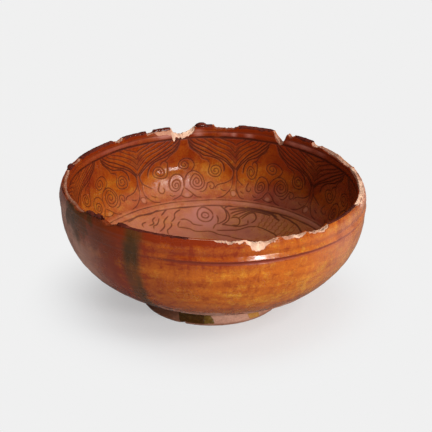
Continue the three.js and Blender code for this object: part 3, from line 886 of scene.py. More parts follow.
def lappetStrokes():
    # every lappet's strokes, by bearing and length up the wall: drawn once, squeezed to each half, wandering
    strokes = []
    jobs = [
        (ogees[1:4], 1, True), (ogees[:1] + ogees[4:], 0.8, True), (chevrons, 0.6, True), (curls, 0.8, False),
    ]
    for number, middle in enumerate(lappetMiddles):
        halves = [middle - lappetGaps[number], lappetGaps[number + 1] - middle]
        drawn = []
        for group, strength, bothSides in jobs:
            for points in group:
                drawn.append((np.asarray(points, float), strength))
                if bothSides:
                    drawn.append((mirrored(points) - [0, 0.15 * strength], strength))
        for points, strength in drawn:
            p = throughPoints(points)
            side = (p[:, 0] > 0).astype(int)
            width = np.array(halves)[side] * carving["degreeLength"]
            beyond = np.maximum(np.abs(p[:, 0]) - 8, 0)
            near = np.minimum(np.abs(p[:, 0]), 8)
            u = np.sign(p[:, 0]) * (near + beyond * (width - 8) / (carving["halfWidth"] - 8))
            strokes.append((middle + u / carving["degreeLength"], p[:, 1], strength))
    for gap in lappetGaps[:-1]:
        for points in gapStrokes:
            p = throughPoints(points)
            strokes.append((gap + p[:, 0] / carving["degreeLength"], p[:, 1], 0.65))
    wandered = []
    for bearing, s, strength in strokes:
        x, y = planAt(bearing, 85)
        across = carving["wander"] * lumps(x, y, s, 14, 21)
        along = carving["wander"] * lumps(x, y, s, 14, 22)
        under = s + along < carving["ringHeight"] - 0.2
        wandered.append(((bearing + across / carving["degreeLength"])[under], (s + along)[under], strength))
    high, lip = carving["ringHeight"], carving["lipRingHeight"]
    rings = (
        (high, 1.1, 31, 0), (high + 0.45, 0.8, 31, 0), (lip, 0.55, 33, 0),
        (81.3, 0.8, 34, 0.7), (77.3, 1.0, 35, 0.9),
    )
    for s, strength, seed, shift in rings:
        bearing = np.arange(-180, 180, 0.1)
        wave = s + 0.14 * ripple(bearing, seed, 3, 20, 0.8) - shift * np.cos(np.radians(bearing + 40))
        wandered.append((bearing, wave, strength * (1 + 0.12 * ripple(bearing, seed + 9, 6, 60, 0.4))))
    return wandered


# The fish in the well, seen from above: sideways and away from the middle of the floor
fishStrokes = [
    ring(-5.4, 67.1, 5.1, 0.93), ring(-5.4, 67.1, 2.2, 0.9), [(-5.7, 67.2), (-5.1, 66.9)],
    [(-21.9, 61.8), (-18.6, 62.6), (-15.3, 61.4), (-13.3, 59.7), (-10.6, 59.2), (-6.7, 59.1)],
    [(-23.1, 55.4), (-19.2, 55.8), (-15.2, 55.6), (-11.3, 54.1), (-6.6, 54), (-2, 53.9), (3.9, 52.1),
     (11.8, 48.3)],
    [(7.6, 70.8), (10, 68.7), (11.1, 66.2), (10.7, 63.6), (8.6, 61.3), (5.9, 59.9)],
    [(4.5, 74.3), (6.3, 72.3), (8.3, 69.8), (9.3, 67), (8.9, 64.5), (6.9, 62.8), (3.9, 61.3), (1.9, 60.9)],
    [(2.3, 67), (3.3, 64.4), (2.9, 61.7)],
    [(-0.4, 56.3), (0.3, 58.9), (1.9, 61)],
    [(1.9, 55.4), (7.9, 54.9), (14.5, 54.4), (18.4, 54.4), (23.1, 55.4), (28.3, 55.2)],
    [(5.9, 59.8), (11.2, 58.7), (17.8, 58.2), (23.1, 57.9)],
    [(11.9, 64.8), (13.9, 65.3), (16.2, 64.9), (17.4, 63.3), (16.9, 60.8), (15.2, 59.3), (12.5, 59.5)],
    [(18.6, 63.8), (20.6, 64.5), (24.5, 65.2), (27.2, 65), (28.4, 63.8), (28.5, 61.8), (27.1, 59.9),
     (24.8, 58.7)],
    [(22.8, 61.6), (22.8, 58.6)],
    [(7.3, 71.1), (10, 72.3), (14.7, 72.5), (18.7, 71.9), (22.6, 70.8)],
    [(11, 69.9), (15.3, 70), (20, 69.8), (24.6, 69.2), (29.2, 67.9), (35, 65), (41, 60.6)],
    [(11.9, 67.5), (15.3, 68.5), (20, 68.8), (25.9, 68.1), (30.5, 67), (36, 63.6), (42.6, 58)],
    [(12.9, 66), (17.9, 67.4), (23.3, 67.4), (28.6, 66.7), (33.2, 65.3), (38, 61.8), (44, 55)],
    [(16.6, 64.8), (19.9, 65.7), (24.6, 66.1), (28.5, 65.7), (33.1, 64.3), (38, 60.4)],
    [(-21.4, 68.9), (-24, 67.2), (-25.7, 65), (-26, 62.6), (-28.2, 59.2)],
    [(-30, 66.3), (-31.6, 64.5), (-32.9, 62.8), (-34.5, 61)],
    [(-29.9, 62.4), (-31.8, 59.7), (-32.7, 57.2), (-32, 55), (-32.3, 52.4), (-34, 49)],
    [(-28.5, 58.4), (-27.8, 56.2), (-28.7, 53.4), (-29.6, 51.5), (-28.6, 48)],
    [(-36.1, 59), (-36.3, 56.7), (-37.6, 53.5), (-39.1, 52.2), (-38.4, 49.5)],
    [(-38.4, 58.9), (-40.2, 56.3), (-39.5, 54), (-42, 51)],
    [(-55.6, 47), (-50.6, 52.8), (-46.8, 55.8), (-42.9, 58.6), (-38.4, 62.2), (-33, 66.4)],
    [(-44.1, 52.8), (-45.9, 50), (-44.6, 48.3)],
    [(-24, 70.6), (-16, 72.6), (-8, 74.4), (2, 74.6)],
    [(-22, 60.4), (-23.4, 58), (-23.1, 55.4)],
    # the rest of the body, its fins and tail
    [(22.6, 70.8), (34, 66.4), (46, 57), (55, 44), (59, 30), (57, 15), (50, 4), (42, -3)],
    [(28.3, 55.2), (36, 49.6), (42, 41), (45.6, 30), (45, 19), (40, 9), (34, 2)],
    [(42, -3), (46, -10), (53, -17), (55, -24), (48, -22), (42, -17), (38, -10)],
    [(34, 2), (28, -2), (20, -3), (17, -7), (24, -9), (32, -8), (38, -10)],
    [(44, -7), (49, -14), (52, -20)], [(30, -3), (24, -5), (20, -6)], [(40, -8), (43, -13), (47, -18)],
    [(58, 34), (64, 27), (66, 18), (61, 15), (57, 14)], [(59, 30), (63, 24)], [(58.6, 24), (62.6, 19)],
    [(45, 33), (38, 33), (33, 29), (36, 24), (45, 23)], [(44, 30), (38, 30)], [(44.6, 26.6), (38, 27)],
    [(11.8, 48.3), (20, 45.4), (28, 39), (33, 29)],
]
waveStrokes = [
    [(-30, 44), (-22, 46.5), (-15, 43), (-9, 45), (-3, 42), (4, 44), (10, 40)],
    [(-34, 40), (-25, 42), (-17, 38.5), (-10, 40.6), (-3, 37.4), (4, 39), (12, 34)],
    spiral(-14, 27, [7.6, 6.6, 6, 5, 4.2, 3.2, 2.6, 1.7, 1], 0, 1),
    [(-6.4, 27), (-6.8, 32), (-11, 35.6), (-18, 36.4), (-26, 34), (-33, 29)],
    spiral(3.4, 25, [6.6, 5.6, 4.8, 3.8, 3.2, 2.2, 1.4], 180, -1),
    [(10, 30.6), (15, 27), (19, 21), (20, 13)],
    [(12.4, 34), (20, 29), (25, 21), (25.6, 11), (22, 3)],
    spiral(9, 9, [7.4, 6.2, 5.4, 4.4, 3.6, 2.6, 1.8, 1.1], 90, -1),
    [(-36, 45), (-44, 41), (-50, 33), (-54, 24)], [(-34, 34), (-42, 30), (-46, 22)],
    [(-56, 42), (-62, 33), (-65.4, 22), (-66, 12)], [(-60, 26), (-62, 14), (-60, 4)],
    spiral(-30, 20, [6, 5.2, 4.4, 3.4, 2.6, 1.8, 1], 0, 1),
    [(-24, 20), (-23.6, 24), (-27, 27.4), (-33, 27.6), (-39, 23), (-42, 15), (-40, 6)],
]


def fishScales():
    # rows of small arcs laid along the fish's body between its back and its belly
    middle = throughPoints([(31, 60.5), (40, 53), (47.6, 43), (51.6, 31), (50.4, 18), (44.6, 7)], 3.4)
    way = np.gradient(middle, axis=0)
    way /= np.linalg.norm(way, axis=1)[:, None]
    side = np.stack([way[:, 1], -way[:, 0]], 1)
    arc = np.radians(np.linspace(-75, 75, 12))
    scales = []
    for row in range(len(middle)):
        for place in np.arange(-1.5, 2) + (row % 2) * 0.5:
            if abs(place) > 1.6:
                continue
            centre = middle[row] + side[row] * place * 3.1
            bend = np.outer(np.cos(arc), way[row]) * 1.9 + np.outer(np.sin(arc), side[row]) * 1.7
            scales.append(centre + bend)
    return scales


def wellStrokes():
    # the two fish and the water between them: one half, and the same turned half round the floor
    strokes = []
    for turn in (1, -1):
        for group, strength in ((fishStrokes, 1.0), (fishScales(), 0.6), (waveStrokes, 0.85)):
            for points in group:
                p = throughPoints(points) * turn
                x = p[:, 0] + 0.3 * lumps(p[:, 0], p[:, 1], 0, 12, 41)
                y = p[:, 1] + 0.3 * lumps(p[:, 0], p[:, 1], 0, 12, 42)
                strokes.append((x, y, strength))
    return strokes


def stamped(strokes, low, step, shape, wrap, cellWidth):
    # depth on a plan of cells: the largest of depth * exp(-(distance / width)^2) over all points of all
    # strokes, each stroke starting and ending lightly
    columns, rows, depths = [], [], []
    for x, y, strength in strokes:
        count = len(x)
        ends = np.minimum(np.arange(count), np.arange(count)[::-1]) * carving["sampleStep"]
        press = np.clip(carving["press"] + ends / 2.2, 0, 1)
        columns.append((x - low[0]) / step[0])
        rows.append((y - low[1]) / step[1])
        depths.append(strength * press)
    column, row, depth = np.concatenate(columns), np.concatenate(rows), np.concatenate(depths)
    width = carving["fineWidth"] + (carving["mainWidth"] - carving["fineWidth"]) * np.clip(depth, 0, 1.6)
    across = cellWidth(low[1] + row * step[1])
    field = np.zeros(shape)
    nearColumn, nearRow = np.round(column).astype(int), np.round(row).astype(int)
    reach = range(-carving["reach"], carving["reach"] + 1)
    for down in reach:
        for aside in reach:
            c, r = nearColumn + aside, nearRow + down
            gap = ((c - column) * across) ** 2 + ((r - row) * step[1]) ** 2
            value = depth * np.exp(-gap / width ** 2)
            keep = (r >= 0) & (r < shape[0])
            if wrap:
                c = c % shape[1]
            else:
                keep &= (c >= 0) & (c < shape[1])
            np.maximum.at(field, (r[keep], c[keep]), value[keep])
    return field


def readField(field, column, row, wrap):
    # the field at places between cells, by weighing the four nearest
    c0, r0 = np.floor(column).astype(int), np.clip(np.floor(row).astype(int), 0, field.shape[0] - 2)
    cf, rf = column - c0, np.clip(row - r0, 0, 1)
    c1 = c0 + 1
    if wrap:
        c0, c1 = c0 % field.shape[1], c1 % field.shape[1]
    else:
        c0, c1 = np.clip(c0, 0, field.shape[1] - 1), np.clip(c1, 0, field.shape[1] - 1)
    low = field[r0, c0] * (1 - cf) + field[r0, c1] * cf
    high = field[r0 + 1, c0] * (1 - cf) + field[r0 + 1, c1] * cf
    return low * (1 - rf) + high * rf


wallCell = (0.2, 0.25)
wallLow = (-180.0, 73.0)
wallShape = (230, 1800)  # rows and columns of cells
wallField = stamped(
    lappetStrokes(), wallLow, wallCell, wallShape, True,
    lambda s: np.interp(s, insideTable["s"], insideTable["r"]) * math.radians(wallCell[0]),
)
floorCell = 0.28
floorLow = (-78.0, -78.0)
floorShape = (558, 558)
floorField = stamped(wellStrokes(), floorLow, (floorCell, floorCell), floorShape, False, lambda y: floorCell)
print("drew the lappets and the fish")


def panelAt(bearing, s):
    # 1 on the plain ground inside the lappets' arches, falling to 0 over the lines that bound them
    u = np.full(np.broadcast(bearing, s).shape, carving["halfWidth"])
    for number, middle in enumerate(lappetMiddles):
        turn = (bearing - middle + 180) % 360 - 180
        half = np.where(turn < 0, middle - lappetGaps[number], lappetGaps[number + 1] - middle)
        u = np.minimum(u, np.abs(turn) / half * carving["halfWidth"])
    edge = np.interp(u, [0, 5, 10, 15, 20, 25, 29, 33], [109.5, 109, 108, 107, 106, 103.5, 99.5, 92])
    return smoothStep(-1.5, 4, edge - s) * smoothStep(82, 85.5, s)


def smallFields(bearing, s):
    # 1 in the middle of the drops between the lappets and of the triangles under them
    total = 0
    for places, height in ((lappetGaps[:-1], 85.9), (lappetMiddles, 84.8)):
        for at in places:
            gap = (bearingGap(bearing, at) * carving["degreeLength"]) ** 2 + (s - height) ** 2
            total = total + np.exp(-(gap / 3.2) ** 2)
    return total


def insideRich(bearing, s):
    # how thick the inside glaze lies: thin on the arches' ground, and thick above them, under the lip and at
    # the left; deeper and darker at the right as painted shade
    left = 0.5 + 0.5 * np.cos(np.radians(bearing + 70))
    spread = lumps(*insidePlan(bearing, s), s, 26, 58)
    wall = smoothStep(80, 84, s)
    rich = 0.43 + wall * (0.19 - 0.28 * panelAt(bearing, s)) + 0.22 * left * wall
    rich = rich - 0.4 * smallFields(bearing, s)
    for first, last in lipStretches:
        half = (last - first) / 2
        inStretch = smoothStep(half + 0.5, half - 0.3, bearingGap(bearing, (first + last) / 2))
        rich = rich + 0.5 * inStretch * smoothStep(127.2, 128.2, s)
    # painted shade: deeper and darker on the right of the wall, which the key lamp doesn't reach
    right = 0.34 * smoothStep(72, 26, bearingGap(bearing, 66)) * wall
    return rich + right + 0.15 * smoothStep(117, 124, s) + 0.05 * spread


# Pinkish places on the band under the lip, partly worn glaze and partly painted highlight: bearing, half
# width in degrees, strength and how far up they reach
bandWearAndHighlight = [
    (-46, 15, 0.3, 126.0), (-21.5, 4.5, 0.9, 128.5), (-6.2, 1.8, 0.8, 128.0), (5.1, 2.6, 0.3, 126.2),
    (9, 1.1, 0.9, 126.2),
    (15.8, 1.6, 0.9, 126.2), (36, 2.6, 0.5, 126.6), (43, 4.0, 0.65, 126.6), (52, 3.0, 0.4, 126.6),
]


def insideSheenAndWear(bearing, s):
    # painted pinkish sheen, a painted reflection of the pale backdrop, along the ledge, over the well and on
    # the far left lappet; and pinkish places under the lip, partly worn glaze and partly painted highlight
    ledge = np.exp(-((s - 79.5) / 3.2) ** 2)
    x, y = insidePlan(bearing, s)
    well = smoothStep(81, 76, s) * (0.66 - 0.4 * smoothStep(-5, 60, x))
    patch = 0.6 * np.exp(-((bearingGap(bearing, -17) / 12) ** 2 + ((s - 92) / 6.5) ** 2))
    eye = 0.54 * np.exp(-((x + 5) ** 2 + (y - 66) ** 2) / 110) * (s < 79)
    low = 0.28 * smoothStep(80, 84, s) * smoothStep(97, 88, s) * smoothStep(75, 40, bearingGap(bearing, 5))
    worn = 0
    for at, half, strength, top in bandWearAndHighlight:
        below = smoothStep(top + 0.4, top - 0.4, s)
        worn = worn + strength * np.exp(-(bearingGap(bearing, at) / half) ** 2) * below
    worn = worn * smoothStep(123.4, 124.4, s) + 0.5 * smallFields(bearing, s)
    return np.clip(np.maximum(np.maximum(0.65 * ledge, well + eye), low) + patch + worn, 0, 1)


def insideValues(bearing, s, lines):
    return {"incised": lines, "rich": insideRich(bearing, s), "sheenAndWear": insideSheenAndWear(bearing, s)}


def incisedAt(bearing, s):
    # strength of the incised lines anywhere inside: the wall's plan, or the floor's plan inside its ring
    x, y = insidePlan(bearing, s)
    wall = readField(wallField, (bearing - wallLow[0]) / wallCell[0], (s - wallLow[1]) / wallCell[1], True)
    plan = readField(floorField, (x - floorLow[0]) / floorCell, (y - floorLow[1]) / floorCell, False)
    return np.maximum(np.where(s > wallLow[1] + 0.3, wall, 0), np.where(s < 77.3, plan, 0))


# Beads where the glaze stands proud inside: bearing, length up the wall, height and size
glazeBeads = [
    (-24.0, 101, 0.7, 2.3), (-21.7, 100.8, 0.75, 2.4), (-19.3, 102, 0.6, 2.0), (-16.9, 101.8, 0.6, 2.0),
    (-14.7, 102.5, 0.55, 1.9), (-20.5, 86, 0.3, 0.8),
    (-44, 96, 0.3, 0.7), (8, 88.5, 0.3, 0.8), (17, 90, 0.25, 0.7), (-31, 111, 0.25, 0.6), (33, 99, 0.3, 0.7),
    (-8, 70, 0.25, 0.9), (52, 92, 0.3, 0.8),
]


def ridgeAt(s, middle, height, width):
    # height * exp(-((s - middle) / width)^2)
    return height * np.exp(-((s - middle) / width) ** 2)


def insidePoints(bearing, s, lift=0.0, carve=True):
    # a point of the inside: the profile turned, sunk along the incised lines and gently uneven, with a ledge
    # round the well, a low ridge under the lip and beads of glaze
    r, z = onProfile(insideTable, s, 0)
    a = np.radians(bearing)
    x, y = r * np.sin(a), r * np.cos(a)
    lines = incisedAt(bearing, s) if carve else np.zeros_like(x)
    sink = lines * carving["depth"]
    uneven = 0
    if carve:
        uneven = 0.03 * lumps(x, y, z, 11, 51) + 0.012 * lumps(x, y, z, 3.6, 52)
        ledge = carving["ledgeLength"] - carving["ledgeShift"] * np.cos(a + math.radians(40))
        uneven = uneven + ridgeAt(s, ledge, carving["ledgeHeight"], carving["ledgeWidth"])
        uneven = uneven + ridgeAt(s, carving["ridgeLength"], carving["ridgeHeight"], carving["ridgeWidth"])
        for at, along, height, size in glazeBeads:
            gap = ((bearingGap(bearing, at) * carving["degreeLength"]) ** 2 + (s - along) ** 2) / size ** 2
            uneven = uneven + height * np.exp(-np.minimum(gap, 40))
    r, z = onProfile(insideTable, s, lift - sink + uneven)
    return turnedPoints(bearing, r, z), lines


insideGlaze = {
    "wallColumns": 1400,
    "wallRows": 64,
    "wallSplit": 102.0,
    "wellCells": 290,
    "bandColumns": 1440,
    "bandRows": 12,
    "wellEdge": 79.3,
    "bandEdge": 124.4,
    "depth": 1.1,  # of the shells
    "bandDepth": 0.75,
    "lipAngle": 128,  # how far round the lip's half circle the coat reaches
}


def insideEdge(bearing):
    return glazeEdge(bearing, insideTable, 110, insideGlaze["lipAngle"], insideFlakes, 61)


def bandLow(bearing):
    return np.minimum(insideGlaze["bandEdge"], insideEdge(bearing) - 1.0)


def wallSplit(bearing):
    return np.full(bearing.shape, insideGlaze["wallSplit"])


def ringOfInside(name, columns, rows, low, high, depth):
    bearing = bearingsRound(columns)
    share = np.linspace(0, 1, rows)[:, None]
    s = low(bearing) + (high(bearing) - low(bearing)) * share
    bearing = np.broadcast_to(bearing, s.shape)
    front, lines = insidePoints(bearing, s)
    back = insidePoints(bearing, s, -depth, False)[0]
    return ringShell(name, front, back, insideValues(bearing, s, lines), 22)


def wellShell():
    # a square of cells bent into a disc, so that no cell is thin: the longer side gives the radius,
    # and the shorter one over it the turn; under it, loops shrink to one point
    n = insideGlaze["wellCells"]
    u, v = np.meshgrid(np.linspace(-1, 1, n), np.linspace(-1, 1, n))
    reach = np.maximum(np.abs(u), np.abs(v))
    flat = np.where(np.abs(u) > np.abs(v), v, u) / np.maximum(reach, 1e-9)
    turn = np.where(
        np.abs(u) > np.abs(v),
        np.where(u > 0, 90 - 45 * flat, -90 + 45 * flat),
        np.where(v > 0, 45 * flat, 180 - 45 * flat),
    )
    s = reach * insideGlaze["wellEdge"]
    front, lines = insidePoints(turn, s)
    index = np.arange(n * n).reshape(n, n)
    rim = np.concatenate([index[0, :-1], index[:-1, -1], index[-1, :0:-1], index[:0:-1, 0]])
    loops, quads = [front.reshape(-1, 3)], [gridQuads(n, n)]
    last, count = rim, n * n
    rimTurn = turn.ravel()[rim]
    for share in (1.0, 0.86, 0.66, 0.42, 0.16):
        along = np.full(len(rim), share * insideGlaze["wellEdge"])
        loop = insidePoints(rimTurn, along, -insideGlaze["depth"], False)[0]
        now = count + np.arange(len(rim))
        quads.append(np.stack([last, now, np.roll(now, -1), np.roll(last, -1)], 1))
        loops.append(loop)
        last, count = now, count + len(rim)
    loops.append(np.array([[0, 0, bowl["floorHeight"] - insideGlaze["depth"]]]))
    tris = np.stack([last, np.full(len(last), count), np.roll(last, -1)], 1)
    unseen = count + 1 - n * n
    values = {key: np.append(value, np.zeros(unseen)) for key, value in insideValues(turn, s, lines).items()}
    return putMesh("wellGlaze", np.concatenate(loops), np.concatenate(quads), tris, values)


well = wellShell()
finishPiece(well, amberInside, "inside_amber_glaze", "inside_glaze")
for name, low, high in (
    ("lowerWallGlaze", lambda bearing: np.full(bearing.shape, insideGlaze["wellEdge"]), wallSplit),
    ("upperWallGlaze", wallSplit, bandLow),
):
    wall = ringOfInside(
        name, insideGlaze["wallColumns"], insideGlaze["wallRows"], low, high, insideGlaze["depth"],
    )
    finishPiece(wall, amberInside, "inside_amber_glaze", "inside_glaze")
lipBand = ringOfInside(
    "lipBandGlaze", insideGlaze["bandColumns"], insideGlaze["bandRows"],
    bandLow, insideEdge, insideGlaze["bandDepth"],
)
finishPiece(lipBand, amberInside, "inside_amber_glaze", "inside_glaze")


outsideGlaze = {
    "columns": 1200,
    "lowRows": 30,
    "highRows": 40,
    "splitHeight": 62.5,
    "depth": 0.75,
    "lowHeight": 10.6,  # of the coat's lower edge, which wanders between the next two
    "lowest": 9.1,
    "highest": 13.5,
    "rimWidth": 0.9,  # over which the lower edge rounds off
    "rimDepth": 0.45,
    "ringHeight": 0.055,  # of the throwing rings, broad and fine, with their turn in radians to a millimetre
    "ringTurn": 1.35,
    "fineRingHeight": 0.035,
    "fineRingTurn": 2.9,
    "lipAngle": 58,
}
# Green runs: name, bearing, half width at the lip and at the end in degrees, height of the end, the height at
# which its green has faded, and how blotchy it is and how far it has bled
greenRuns = [
    ("green_run_front", -150.3, 4.6, 4.0, 15.0, 16.0, 0.0, 1.0),
    ("green_run_left", -120.5, 9.0, 7.0, 42.0, 60.0, 0.9, 1.4),
    ("green_run_back", -8.0, 4.6, 3.6, 26.0, 27.0, 0.0, 1.0),
]


def greenAt(bearing, z):
    # how green the glaze is: soft-sided tapering bands under the lip that fade out at their lower ends, and a
    # faint stain between the two at the left
    total = 0
    blots = lumps(*planAt(bearing, 90), z, 7, 85)
    for number, run in enumerate(greenRuns):
        at, top, low, end, faded, blotchy, bled = run[1:]
        drift = 0.3 * ripple(z * 4, 71 + number, 2, 14, 0.8)
        share = np.clip((z - end) / (77 - end), 0, 1)
        half = (low + (top - low) * share) * bled
        across = bearingGap(bearing + drift, at) / half
        down = smoothStep(faded - 6, faded + 9, z + 2.2 * ripple(bearing * 3, 81 + number, 5, 40, 0.4))
        spread = 1 - smoothStep(0.35, 1.2, across)
        crisp = smoothStep(0.2, 0.75, spread + 0.3 * blots) * smoothStep(0, 0.25, spread)
        spread = spread + blotchy * (crisp - spread)
        total = np.maximum(total, spread * down)
    stain = 0.42 * np.exp(-(bearingGap(bearing, -136) / 9) ** 2) * smoothStep(46, 66, z + 4 * blots)
    return np.maximum(total, stain)


def grooveAt(bearing, z):
    # 1 in the turned groove, where the glaze lies thick
    return np.exp(-((z - bowl["grooveHeight"]) / 1.4) ** 2) * turnedShare(bearing)


def outsideRich(bearing, z):
    # how thick the outside glaze lies: red under the lip and in the groove, thin on the lip band, with
    # bands below, and deeper towards the left as painted shade
    # painted shade: the glaze is made deeper and darker towards the left, the side away from the key lamp
    left = (0.5 + 0.5 * np.cos(np.radians(bearing + 115))) ** 2.2
    right = smoothStep(62, 28, bearingGap(bearing, 122)) * smoothStep(36, 56, z)
    lip = smoothStep(72.5, 78, z + 0.7 * ripple(bearing, 59, 6, 60, 0.4))
    band = np.exp(-((z - 70.3) / 2.6) ** 2)
    groove = grooveAt(bearing, z)
    rings = 0.07 * ripple(z * 7 + 8 * np.sin(np.radians(bearing)), 60, 3, 40, 0.5)
    lip = lip * (0.35 + 0.65 * smoothStep(170, 186, bearing % 360) * smoothStep(330, 290, bearing % 360))
    rich = 0.41 + 0.5 * lip + 0.18 * band + 0.7 * groove + 0.56 * left + 0.1 * right
    rich = rich + 0.12 * smoothStep(34, 16, z)
    return rich + rings * (z < 64)


def outsidePaintedSheen(bearing, z):
    # painted pinkish sheen, a painted reflection of the pale backdrop, down the left side, and a fainter one
    # at the right
    side = smoothStep(42, 14, bearingGap(bearing, -102)) * smoothStep(22, 40, z) * smoothStep(82, 68, z)
    side = side * (1 - 0.75 * smoothStep(54, 68, z) * smoothStep(24, 12, bearingGap(bearing, -138)))
    right = smoothStep(38, 10, bearingGap(bearing, 112)) * smoothStep(26, 44, z)
    return np.clip(0.95 * side + 0.28 * right, 0, 1) * smoothStep(80, 74, z)


def outsideValues(bearing, z, bareEdge=None):
    # pale below the lip at the right: partly worn glaze and partly painted sheen
    worn = smoothStep(17, 8, bearingGap(bearing, 97)) * smoothStep(70, 76, z)
    low = 0.66 * smoothStep(31, 19, z + 1.5 * ripple(bearing, 86, 3, 30, 0.6))
    foot = 0 if bareEdge is None else np.maximum(low, smoothStep(5, 1, z - bareEdge))
    return {
        "green": greenAt(bearing, z), "rich": outsideRich(bearing, z), "sheenAndWear": outsidePaintedSheen(bearing, z),
        "bare": np.maximum(worn, foot), "incised": 0.25 * grooveAt(bearing, z),
    }


def outsideEdge(bearing):
    return glazeEdge(bearing, outsideTable, 60, outsideGlaze["lipAngle"], outsideFlakes, 65)


def outsidePoints(bearing, s, lift=0.0, uneven=True):
    # a point of the outside: the profile turned, its groove partly filled, with shallow throwing rings and
    # a gently uneven glaze
    r, z = onProfile(outsideTable, s, 0)
    a = np.radians(bearing)
    x, y = r * np.sin(a), r * np.cos(a)
    aside = (turnedShare(bearing) - 1) * turnedShape(z) + rootAside(bearing, z)
    wave = 0.0
    if uneven:
        wave = 0.05 * lumps(x, y, z * 2.2, 16, 55) + 0.022 * lumps(x, y, z, 4, 56)
        rings = outsideGlaze["ringHeight"] * np.sin(z * outsideGlaze["ringTurn"] + 0.5 * np.sin(a * 2))
        rings = rings + outsideGlaze["fineRingHeight"] * np.sin(z * outsideGlaze["fineRingTurn"] + np.sin(a))
        wave = wave + rings * (1 - np.exp(-((z - 67.8) / 2.4) ** 2) * turnedShare(bearing))
    r, z = onProfile(outsideTable, s, lift + wave)
    return turnedPoints(bearing, r + aside, z), z


def outsideShell():
    columns = outsideGlaze["columns"]
    bearing = bearingsRound(columns)
    lowZ = outsideGlaze["lowHeight"] + 0.7 * ripple(bearing, 57, 3, 16, 0.6)
    lowZ = lowZ + 0.25 * ripple(bearing, 58, 16, 70, 0.4)
    low = lengthAtHeight(outsideTable, np.clip(lowZ, outsideGlaze["lowest"], outsideGlaze["highest"]), 0)
    split = lengthAtHeight(outsideTable, outsideGlaze["splitHeight"], 0)
    high = outsideEdge(bearing)
    first = np.linspace(0, 1, outsideGlaze["lowRows"])[:, None]
    second = np.linspace(0, 1, outsideGlaze["highRows"] + 1)[1:, None]
    s = np.concatenate([low + (split - low) * first, split + (high - split) * second])
    bearing = np.broadcast_to(bearing, s.shape)
    rim = np.minimum((s - low) / outsideGlaze["rimWidth"], 1)
    rounded = -outsideGlaze["rimDepth"] * (1 - np.sqrt(np.clip(1 - (1 - rim) ** 2, 0, 1)))
    front, z = outsidePoints(bearing, s, rounded)
    back = outsidePoints(bearing, s, -outsideGlaze["depth"], False)[0]
    return ringShell("outsideGlaze", front, back, outsideValues(bearing, z, lowZ), 7)


finishPiece(outsideShell(), amberOutside, "amber_glaze", "outside_glaze")


greenRun = {
    "columns": 61,
    "rows": 150,
    "tail": 6.0,  # how far below its end the tongue reaches
    "widening": 1.25,  # of the tongue over the green itself
    "thickness": 0.22,
    "sunk": 0.06,  # how far its edges lie under the coat
    "depth": 0.4,
}


def greenShell(name, at, top, low, end):
    # one run: a thicker tongue over the coat, whose edges sink just under the coat's surface
    u = np.linspace(-1, 1, greenRun["columns"])[None, :]
    t = np.linspace(0, 1, greenRun["rows"])[:, None]
    lowEnd = lengthAtHeight(outsideTable, end - greenRun["tail"], 0)
    half = (low + (top - low) * t) * greenRun["widening"] * np.clip((t + 0.02) / 0.12, 0, 1) ** 0.5
    bearing = at + u * half
    high = outsideEdge(bearing) - 0.02
    s = lowEnd + (high - lowEnd) * t
    swell = np.clip(1 - u ** 2, 0, 1) * np.clip(t / 0.06, 0, 1)
    lift = -greenRun["sunk"] + greenRun["thickness"] * swell ** 0.8
    lift = lift * np.where(t > 0.97, (1 - t) / 0.03, 1)
    front, z = outsidePoints(bearing, s, lift)
    back = outsidePoints(bearing, s, -greenRun["depth"], False)[0]
    return patchShell(name, front, back, outsideValues(bearing, z))


for run, pieceName in zip(greenRuns, ("greenRunFront", "greenRunLeft", "greenRunBack")):
    piece = greenShell(pieceName, *run[1:5])
    finishPiece(piece, amberOutside, "green_glaze", run[0])


clayBody = {
    "columns": 1200,
    "undersideRadii": [3, 8, 13, 18, 22, 25, 28, 31, 34, 37, 40.5],
    "swellHeight": 0.9,  # of the small swell left in the middle of the underside
    "swellRadius": 9,
    "grain": 0.16,
    "lipStart": 66.0,  # height from which the clay is worked finely, for the breaks
    "underGlaze": 2.0,  # how far the clay lies under the carved inside, where it isn't seen
}


